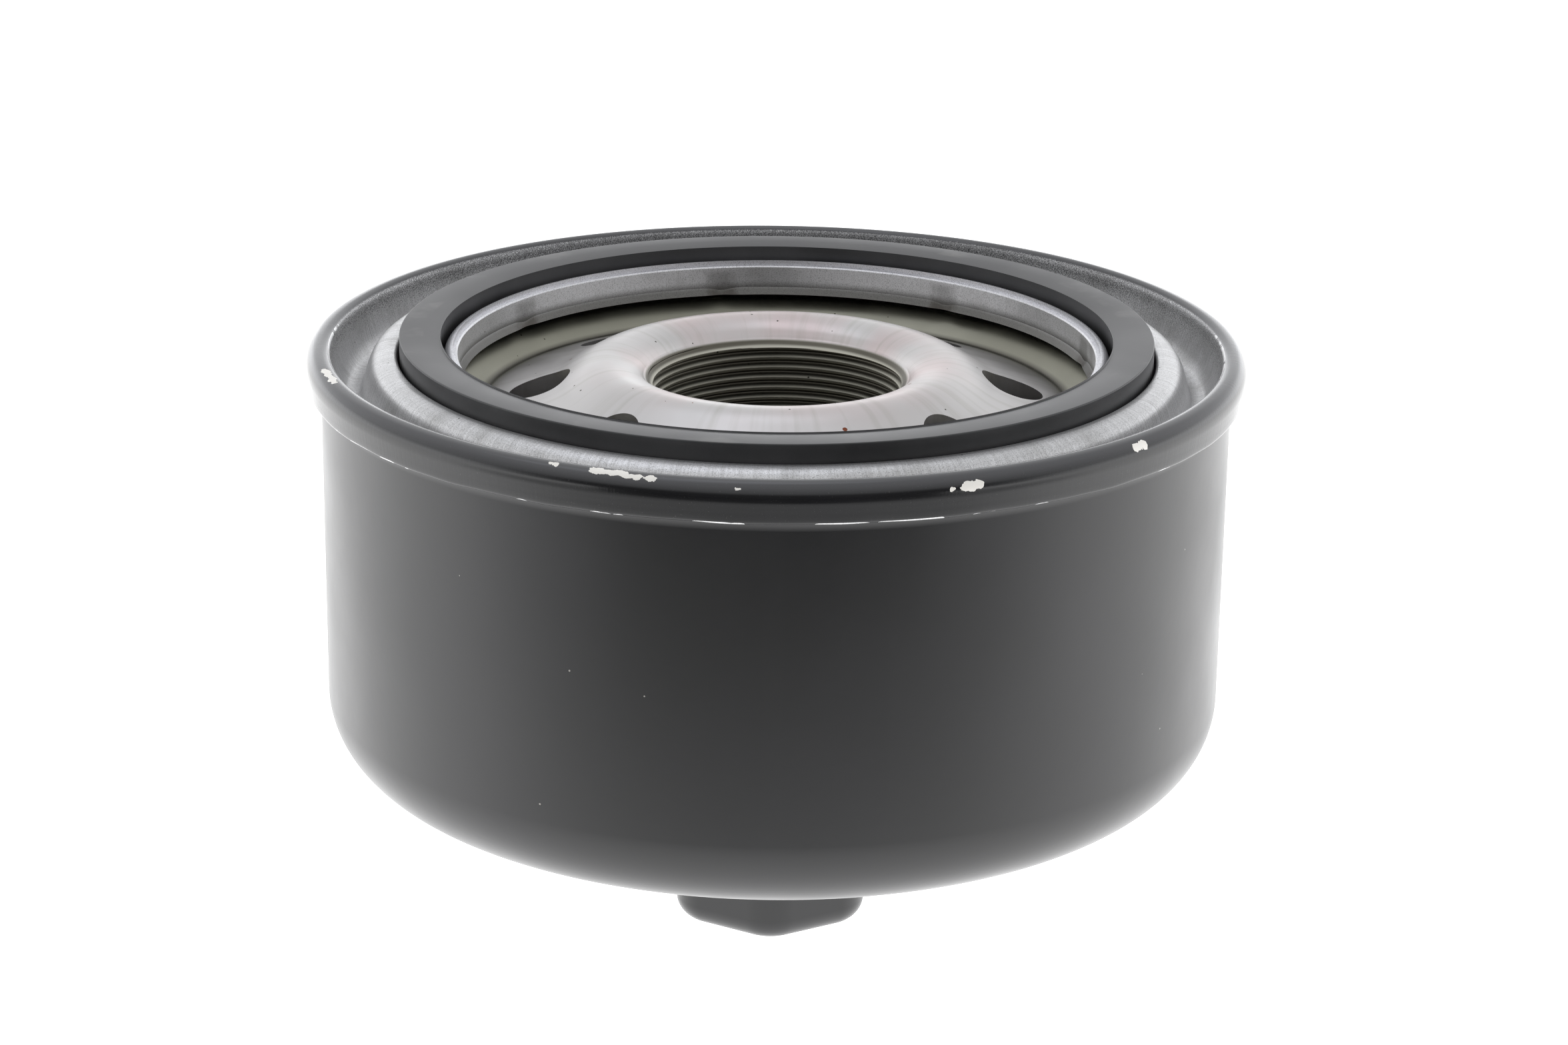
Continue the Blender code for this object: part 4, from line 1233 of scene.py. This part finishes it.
@dataclass(frozen=True)
class TappingPlate:
    """Thick pressed plate with a ring of inlet holes, a rounded crest and a tapped neck, in mm."""

    radius: float
    top: float = 7.8
    thickness: float = 4.0
    ledge: float = 45.2
    crease_radius: float = 41.2
    crease_depth: float = 10.5
    hole_circle: float = 32.98
    hole_radius: float = 4.3
    hole_count: int = 8
    hole_phase: float = -88.1
    crest_radius: float = 23.5
    crest_depth: float = 4.0
    mouth_radius: float = 18.5
    mouth_depth: float = 6.3
    major_radius: float = 18.0
    minor_radius: float = 17.19
    pitch: float = 1.5
    neck_radius: float = 21.5
    neck_end: float = 22.6
    segments: int = 288
    rows_per_turn: int = 12

    def face(self) -> Outline:
        """The plate's outline from the bore's lower end, round the outside and over to its mouth.

        Returns:
            Radius and depth of each point.
        """
        visible = [
            (self.radius, self.top), (self.ledge, self.top), (self.crease_radius, self.crease_depth),
            (self.hole_circle, 8.1), (27.5, 5.2), (25.3, 4.35),
        ]
        hidden = far_side(visible, self.thickness)[::-1]
        under = rounded(
            [
                (self.major_radius + 0.15, self.neck_end, 0.0), (self.neck_radius, self.neck_end, 0.4),
                (self.neck_radius, 10.6, 2.2),
                *[(point[0], point[1], 2.0) for point in hidden[3:0:-1]],
                (self.radius, self.top + self.thickness, 0.6), (self.radius, self.top, 0.6),
                (self.ledge, self.top, 2.0), (self.crease_radius, self.crease_depth, 0.9),
                (34.2, 8.42, 0.0),
            ]
        )
        crest = spline(
            [
                (34.2, 8.42), (31.0, 7.25), (28.6, 5.85), (26.6, 4.72), (25.0, 4.18),
                (self.crest_radius, self.crest_depth), (22.0, 4.2), (20.6, 4.62), (19.5, 5.22),
                (18.85, 5.85), (self.mouth_radius, self.mouth_depth),
            ],
            5,
        )
        return under + crest[1:]

    def thread(self, turns: np.ndarray) -> Ring:
        """Rows that follow the helix of the thread, from the mouth to the lower end.

        Args:
            turns: headings in radians.

        Returns:
            The radii and depths, where row i one turn on meets row i plus the rows in a turn.
        """
        length = self.neck_end - self.mouth_depth
        rows = math.ceil((length / self.pitch + 1.0) * self.rows_per_turn) + 1
        along = np.arange(rows)[:, None] / self.rows_per_turn
        free = self.mouth_depth + self.pitch * (along - 1.0 + turns[None, :] / math.tau)
        depth = np.clip(free, self.mouth_depth, self.neck_end)
        phase = (along * np.ones_like(turns)[None, :]) % 1.0
        rise = self.major_radius - self.minor_radius
        flank = np.clip((np.abs(phase - 0.5) * 2.0 - 0.14) / 0.74, 0.0, 1.0)
        cut = self.minor_radius + rise * flank
        upper = self.mouth_radius - (depth - self.mouth_depth) * 1.19
        lower = self.major_radius + 0.15 - (self.neck_end - depth)
        return np.maximum(cut, np.maximum(upper, lower)), depth

    def plate_mesh(self) -> bpy.types.Mesh:
        """The plate with its thread and without its holes.

        Returns:
            The closed mesh.
        """
        turns = np.linspace(0.0, math.tau, self.segments, endpoint=False)
        radius, depth = spread(self.face(), self.segments)
        outside = skin("plate_outside", radius, depth, turns, False)
        radius, depth = self.thread(turns)
        rows, count = radius.shape
        work = bmesh.new()
        work.from_mesh(outside)
        grid = []
        for i in range(rows):
            ring = [
                work.verts.new((r * math.cos(t) * MM, r * math.sin(t) * MM, DATUM.height(d)))
                for r, d, t in zip(radius[i], depth[i], turns)
            ]
            grid.append(ring)
        for i in range(rows - 1):
            for j in range(count):
                step = 0 if j < count - 1 else self.rows_per_turn
                if i + 1 + step >= rows:
                    continue
                right = (j + 1) % count
                corners = (grid[i][j], grid[i + step][right], grid[i + 1 + step][right], grid[i + 1][j])
                work.faces.new(corners)
        work.to_mesh(outside)
        work.free()
        return tidy(outside, 38.0)

    def hole_cutter(self, top: float, bottom: float) -> bpy.types.Object:
        """Upright round bars at the inlet holes.

        Args:
            top: depth of their upper ends.
            bottom: depth of their lower ends.

        Returns:
            The bars as one object.
        """
        work = bmesh.new()
        for number in range(self.hole_count):
            turn = math.radians(self.hole_phase) + math.tau * number / self.hole_count
            spot = Vector((self.hole_circle * math.cos(turn), self.hole_circle * math.sin(turn), 0.0)) * MM
            spot.z = DATUM.height((top + bottom) / 2.0)
            bmesh.ops.create_cone(
                work,
                cap_ends=True,
                segments=72,
                radius1=self.hole_radius * MM,
                radius2=self.hole_radius * MM,
                depth=(bottom - top) * MM,
                matrix=Matrix.Translation(spot),
            )
        mesh = bpy.data.meshes.new("inlet_bars")
        work.to_mesh(mesh)
        work.free()
        bars = bpy.data.objects.new("inlet_bars", mesh)
        bpy.context.scene.collection.objects.link(bars)
        return bars

    def build(self, finish: bpy.types.Material) -> None:
        """Builds the plate and cuts its holes.

        Args:
            finish: its steel.
        """
        made = piece("threaded_tapping_plate", self.plate_mesh(), finish)
        carved(made, self.hole_cutter(2.0, 20.0))
        tidy(made.data, 38.0)
        settle(made, Body.CASING, Slot.PLATE, "tapping_plate")


@dataclass(frozen=True)
class DrainValve:
    """Rubber diaphragm under the tapping plate: collar, disc and sealing lip, in mm."""

    collar_inner: float = 21.8
    collar_outer: float = 24.8
    collar_top: float = 13.97
    collar_end: float = 20.46
    disc_top: float = 16.47
    disc_bottom: float = 17.86
    lip_top: float = 15.2
    lip_radius: float = 42.5

    def build(self, finish: bpy.types.Material) -> None:
        """Builds the diaphragm.

        Args:
            finish: its rubber.
        """
        outline = rounded(
            [
                (self.collar_inner, 17.0, 0.0), (self.collar_inner, self.collar_top, 0.4),
                (self.collar_outer - 0.3, self.collar_top, 0.9),
                (self.collar_outer + 0.3, self.disc_top, 0.8), (37.7, self.disc_top, 1.5),
                (40.6, self.lip_top, 0.3), (41.4, self.lip_top, 0.4),
                (self.lip_radius, self.lip_top + 0.5, 0.3), (self.lip_radius, self.lip_top + 1.3, 0.3),
                (38.0, self.disc_bottom, 1.5), (self.collar_outer, self.disc_bottom, 0.8),
                (self.collar_outer, self.collar_end, 0.6), (self.collar_inner, self.collar_end, 0.4),
                (self.collar_inner, 17.0, 0.0),
            ]
        )
        turned_piece("rubber_drain_valve", outline, 192, finish, Body.DRAIN, Slot.RUBBER, "anti_drain_valve")


@dataclass(frozen=True)
class ValveSeal:
    """Rubber ring under the bypass poppet, with a bead that presses on the seat, in mm.

    Attributes:
        bore: radius of its hole.
        bead_radius: radius of the bead's crest.
        proud: how far the bead stands out of the face.
    """

    bore: float = 6.3
    bead_radius: float = 10.0
    proud: float = 0.25

    def build(self, finish: bpy.types.Material) -> None:
        """Builds the ring.

        Args:
            finish: its rubber.
        """
        low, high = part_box("bypass_seal")
        top = (DATUM.face - high.z) / MM
        bottom = (DATUM.face - low.z) / MM
        face = bottom - self.proud
        outer = reach_of("bypass_seal")
        outline = rounded(
            [
                (self.bore, face - 0.3, 0.0), (self.bore, top, 0.15), (outer, top, 0.25),
                (outer, face, 0.2), (self.bead_radius + 0.6, face, 0.25), (self.bead_radius, bottom, 0.2),
                (self.bead_radius - 0.6, face, 0.25), (self.bore, face, 0.15),
                (self.bore, face - 0.3, 0.0),
            ]
        )
        turned_piece("bypass_valve_seal", outline, 120, finish, Body.BYPASS, Slot.RUBBER, "bypass_seal")


@dataclass(frozen=True)
class Springs:
    """The bypass valve's coil and the leaf spring under the element, in mm.

    Attributes:
        coil_radius: radius of the coil to the wire's centre.
        wire: the wire's diameter.
        turns: turns in the coil, of which a half at each end is ground flat.
        lift_keep: share of its height that the coil would keep with the valve open; not used.
        float_keep: share of its height that the leaf would keep with the element pushed down; not used.
    """

    coil_radius: float = 8.5
    wire: float = 1.4
    turns: float = 4.5
    lift_keep: float = 0.68
    float_keep: float = 0.77

    def coil(self, finish: bpy.types.Material) -> None:
        """Builds the coil spring.

        Args:
            finish: its steel.
        """
        low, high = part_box("bypass_spring")
        half = self.wire * MM / 2.0
        per_turn, sides = 40, 14
        count = round(self.turns * per_turn)
        work = bmesh.new()
        rings = []
        for i in range(count + 1):
            turn = math.tau * i / per_turn
            share = min(max((i / per_turn - 0.5) / (self.turns - 1.0), 0.0), 1.0)
            height = high.z - half - (high.z - low.z - 2.0 * half) * share
            out = Vector((math.cos(turn), math.sin(turn), 0.0))
            centre = out * self.coil_radius * MM + Vector((0.0, 0.0, height))
            rings.append([])
            for a in (math.tau * k / sides for k in range(sides)):
                arm = out * (math.cos(a) * half) + Vector((0.0, 0.0, math.sin(a) * half))
                rings[-1].append(work.verts.new(centre + arm))
        for first, second in zip(rings, rings[1:]):
            for k in range(sides):
                work.faces.new((first[k], first[(k + 1) % sides], second[(k + 1) % sides], second[k]))
        work.faces.new(rings[0])
        work.faces.new(rings[-1])
        mesh = bpy.data.meshes.new("valve_coil")
        work.to_mesh(mesh)
        work.free()
        made = piece("valve_coil", tidy(mesh, 50.0), finish)
        settle(made, Body.ELEMENT, Slot.SPRING, "bypass_spring")
        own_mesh(made)

    def leaf(self, finish: bpy.types.Material) -> None:
        """Builds the leaf spring from the CAD node's mesh.

        Args:
            finish: its steel.
        """
        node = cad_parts["support_spring"]
        mesh = node.data.copy()
        made = piece("leaf_spring", tidy(mesh, 32.0), finish)
        settle(made, Body.CASING, Slot.SPRING, "support_spring")
        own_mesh(made)


@dataclass(frozen=True)
class Internals:
    """CAD nodes inside the can whose shape is right and that only need their materials."""

    zinc: tuple[str, ...] = (
        "element_top_cap",
        "element_bottom_cap",
        "centre_tube",
        "bypass_seat",
        "bypass_cage",
    )
    pottings: tuple[str, ...] = ("top_potting", "bottom_potting")

    def build(self, steel: bpy.types.Material) -> None:
        """Dresses each node.

        Args:
            steel: the tapping plate's steel, for the weld nuggets.
        """
        zinc = PlainMetal().make()
        resin = CuredStuff("cured_plastisol", "#8a2f22", "#74271c", 0.55, 1.2, 0.04).make()
        paper = CuredStuff().make()
        compound = CuredStuff("dried_seam_compound", "#a89c86", "#94886f", 0.7, 0.9, 0.08).make()
        nylon = CuredStuff("glass_filled_nylon", "#1d1d1f", "#29292b", 0.5, 0.3, 0.02).make()
        for node in self.zinc:
            dress_node(node, zinc)
        for node in self.pottings:
            dress_node(node, resin)
        for number in range(LID.weld_count):
            dress_node(f"weld_{number + 1}", steel)
        dress_node("pleated_media", paper)
        dress_node("seam_sealant", compound)
        dress_node("bypass_poppet", nylon)


# ---------------------------------------------------------------------------
# Studio
# ---------------------------------------------------------------------------


@dataclass(frozen=True)
class Studio:
    """Camera, table and soft lights. Lengths are in millimetres and angles in degrees.

    Attributes:
        lens: focal length on a 36 mm wide sensor.
        stand: where the camera stands, with its height above the sealing face.
        target: where it looks, with its height above the sealing face.
        roll: how far the camera leans.
        table: half the width of the table.
        skirt_glow: brightness that is added just above the horizon.
        wall_glow: brightness of the room's walls.
        roof_glow: its brightness overhead.
        front_glow: its brightness behind the camera.
        card_distance: how far in front of the axis the black card stands.
        card_size: its width and height.
    """

    lens: float = 90.73
    stand: Spot = (0.0, -527.61, 150.69)
    target: Spot = (1.33, 0.0, -28.09)
    roll: float = 0.763
    table: float = 3000.0
    skirt_glow: float = 1.2
    wall_glow: float = 1.3
    roof_glow: float = 0.8
    front_glow: float = 0.08
    card_distance: float = 262.0
    card_size: tuple[float, float] = (400.0, 85.0)

    def camera(self) -> None:
        """Places the camera and makes it the scene's."""
        lens = bpy.data.cameras.new("camera")
        lens.sensor_width = 36.0
        lens.lens = self.lens
        lens.clip_start = 0.01
        holder = bpy.data.objects.new("camera", lens)
        stand = Vector(self.stand) * MM
        ahead = (Vector(self.target) * MM - stand).normalized()
        stand.z += DATUM.face
        right = ahead.cross(Vector((0.0, 0.0, 1.0))).normalized()
        up = right.cross(ahead)
        lean = math.radians(self.roll)
        right, up = math.cos(lean) * right + math.sin(lean) * up, math.cos(lean) * up - math.sin(lean) * right
        holder.matrix_world = Matrix.Translation(stand) @ Matrix((right, up, -ahead)).transposed().to_4x4()
        bpy.context.scene.collection.objects.link(holder)
        bpy.context.scene.camera = holder

    def floor(self) -> None:
        """Lays the table that the filter stands on."""
        work = bmesh.new()
        bmesh.ops.create_grid(work, x_segments=4, y_segments=4, size=self.table * MM)
        mesh = bpy.data.meshes.new("table")
        work.to_mesh(mesh)
        work.free()
        table = piece("table", mesh, LitAcrylic().make())
        table.location.z = CAD_BOX[0].z
        table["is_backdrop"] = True

    def sheet(self, name: str, corners: Corners, finish: Finish) -> None:
        """Sets up a sheet that darkens reflections and that the lens doesn't see.

        Args:
            name: the sheet's name.
            corners: its corners in millimetres.
            finish: its material.
        """
        mesh = bpy.data.meshes.new(name)
        mesh.from_pydata([Vector(corner) * MM for corner in corners], [], [(0, 1, 2, 3)])
        made = piece(name, mesh, finish.make())
        made.visible_camera = False
        made.visible_shadow = False
        made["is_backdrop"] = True

    def darken_front(self) -> None:
        """Lays the graded gel before the filter and stands a black card behind it."""
        far = -self.card_distance
        half, top = self.card_size[0] / 2.0, self.card_size[1]
        wide, near, low = 400.0, -62.0, 0.4
        gel = [(-wide, -700.0, low), (wide, -700.0, low), (wide, near, low), (-wide, near, low)]
        card = [(-half, far, 0.5), (half, far, 0.5), (half, far, top), (-half, far, top)]
        self.sheet("graded_gel", gel, GradedGel())
        self.sheet("black_card", card, CuredStuff("black_flocked_card", "#0a0a0a", "#0c0c0c", 0.95))

    def softbox(self, name: str, place: Spot, size: tuple[float, float], power: float, colour: str) -> None:
        """Hangs a soft light that faces the filter.

        Args:
            name: the light's name.
            place: where its middle is.
            size: its width and height.
            power: watts.
            colour: its colour as sRGB hex.
        """
        light = bpy.data.lights.new(name, "AREA")
        light.shape = "RECTANGLE"
        light.size, light.size_y = size[0] * MM, size[1] * MM
        light.energy = power
        light.color = linear(colour)[:3]
        hung = bpy.data.objects.new(name, light)
        spot = Vector(place) * MM
        hung.location = spot
        hung.rotation_mode = "QUATERNION"
        hung.rotation_quaternion = (Vector((0.0, 0.0, 50.0 * MM)) - spot).to_track_quat("-Z", "Y")
        bpy.context.scene.collection.objects.link(hung)

    def walls(self) -> None:
        """White room, darker on the side that the photographer stands on."""
        world = bpy.data.worlds.new("white_room")
        world.use_nodes = True
        bpy.context.scene.world = world
        tree = world.node_tree
        toward = add_node(tree, "TexCoord", out="Generated")
        steps = []
        for axis, start, end, low, high in (
            ("Y", -0.1, -0.75, 0.0, 1.0),
            ("Z", 0.6, 0.25, 0.0, 1.0),
            ("Z", 0.2, 0.7, self.wall_glow, self.roof_glow),
            ("Z", 0.3, 0.08, 0.0, self.skirt_glow),
        ):
            way = add_node(tree, "SeparateXYZ", {0: toward}, axis)
            levels = {0: way, 1: start, 2: end, 3: low, 4: high}
            steps.append(add_node(tree, "MapRange", levels, interpolation_type="SMOOTHSTEP"))
        front, low, wall, skirting = steps
        dark = add_node(tree, "Math", {0: front, 1: low}, operation="MULTIPLY")
        sides = add_node(tree, "Math", {0: wall, 1: skirting}, operation="ADD")
        glow = add_node(tree, "Mix", {0: dark, 2: sides, 3: self.front_glow}, data_type="FLOAT")
        fill(tree, tree.nodes["Background"], {"Strength": glow, "Color": linear("#fcfdff")})

    def build(self) -> None:
        """Sets the studio up."""
        bpy.context.scene.view_settings.view_transform = "Standard"
        self.camera()
        self.floor()
        self.darken_front()
        self.walls()
        self.softbox("top_softbox", (-150.0, 250.0, 900.0), (600.0, 400.0), 0.5, "#eef2ff")


DATUM = Datum(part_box("sealing_gasket")[1].z)
LID = SeamingLid(seam_radius=reach_of("seaming_lid"), gasket_outer=reach_of("sealing_gasket"))
PLATE = TappingPlate(radius=reach_of("tapping_plate"))
CAN = PaintedCan(end=DATUM.face / MM, rim_radius=reach_of("can"))
GASKET = FaceGasket(outer=reach_of("sealing_gasket"))


def main() -> None:
    """Builds every sub-assembly, then the studio, and notes the sizes."""
    logging.basicConfig(level=logging.INFO, format="%(name)s: %(message)s")
    rubber = Nitrile().make()
    steel = OiledSteel().make()
    spring_steel = PlainMetal("oiled_spring_steel", "#77787a", "#5c5d60", 0.34).make()
    CAN.build(StovedPaint().make())
    LID.build(PaintedTinplate().make())
    GASKET.build(rubber)
    PLATE.build(steel)
    DrainValve().build(rubber)
    ValveSeal().build(rubber)
    springs = Springs()
    springs.coil(spring_steel)
    springs.leaf(spring_steel)
    Internals().build(steel)
    Studio().build()
    boxes = {"cad": CAD_BOX, "visual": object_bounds()}
    for name, box in boxes.items():
        LOG.info("%s box: %s to %s mm", name, *[tuple(round(c / MM, 2) for c in corner) for corner in box])


if __name__ == "__main__":
    main()
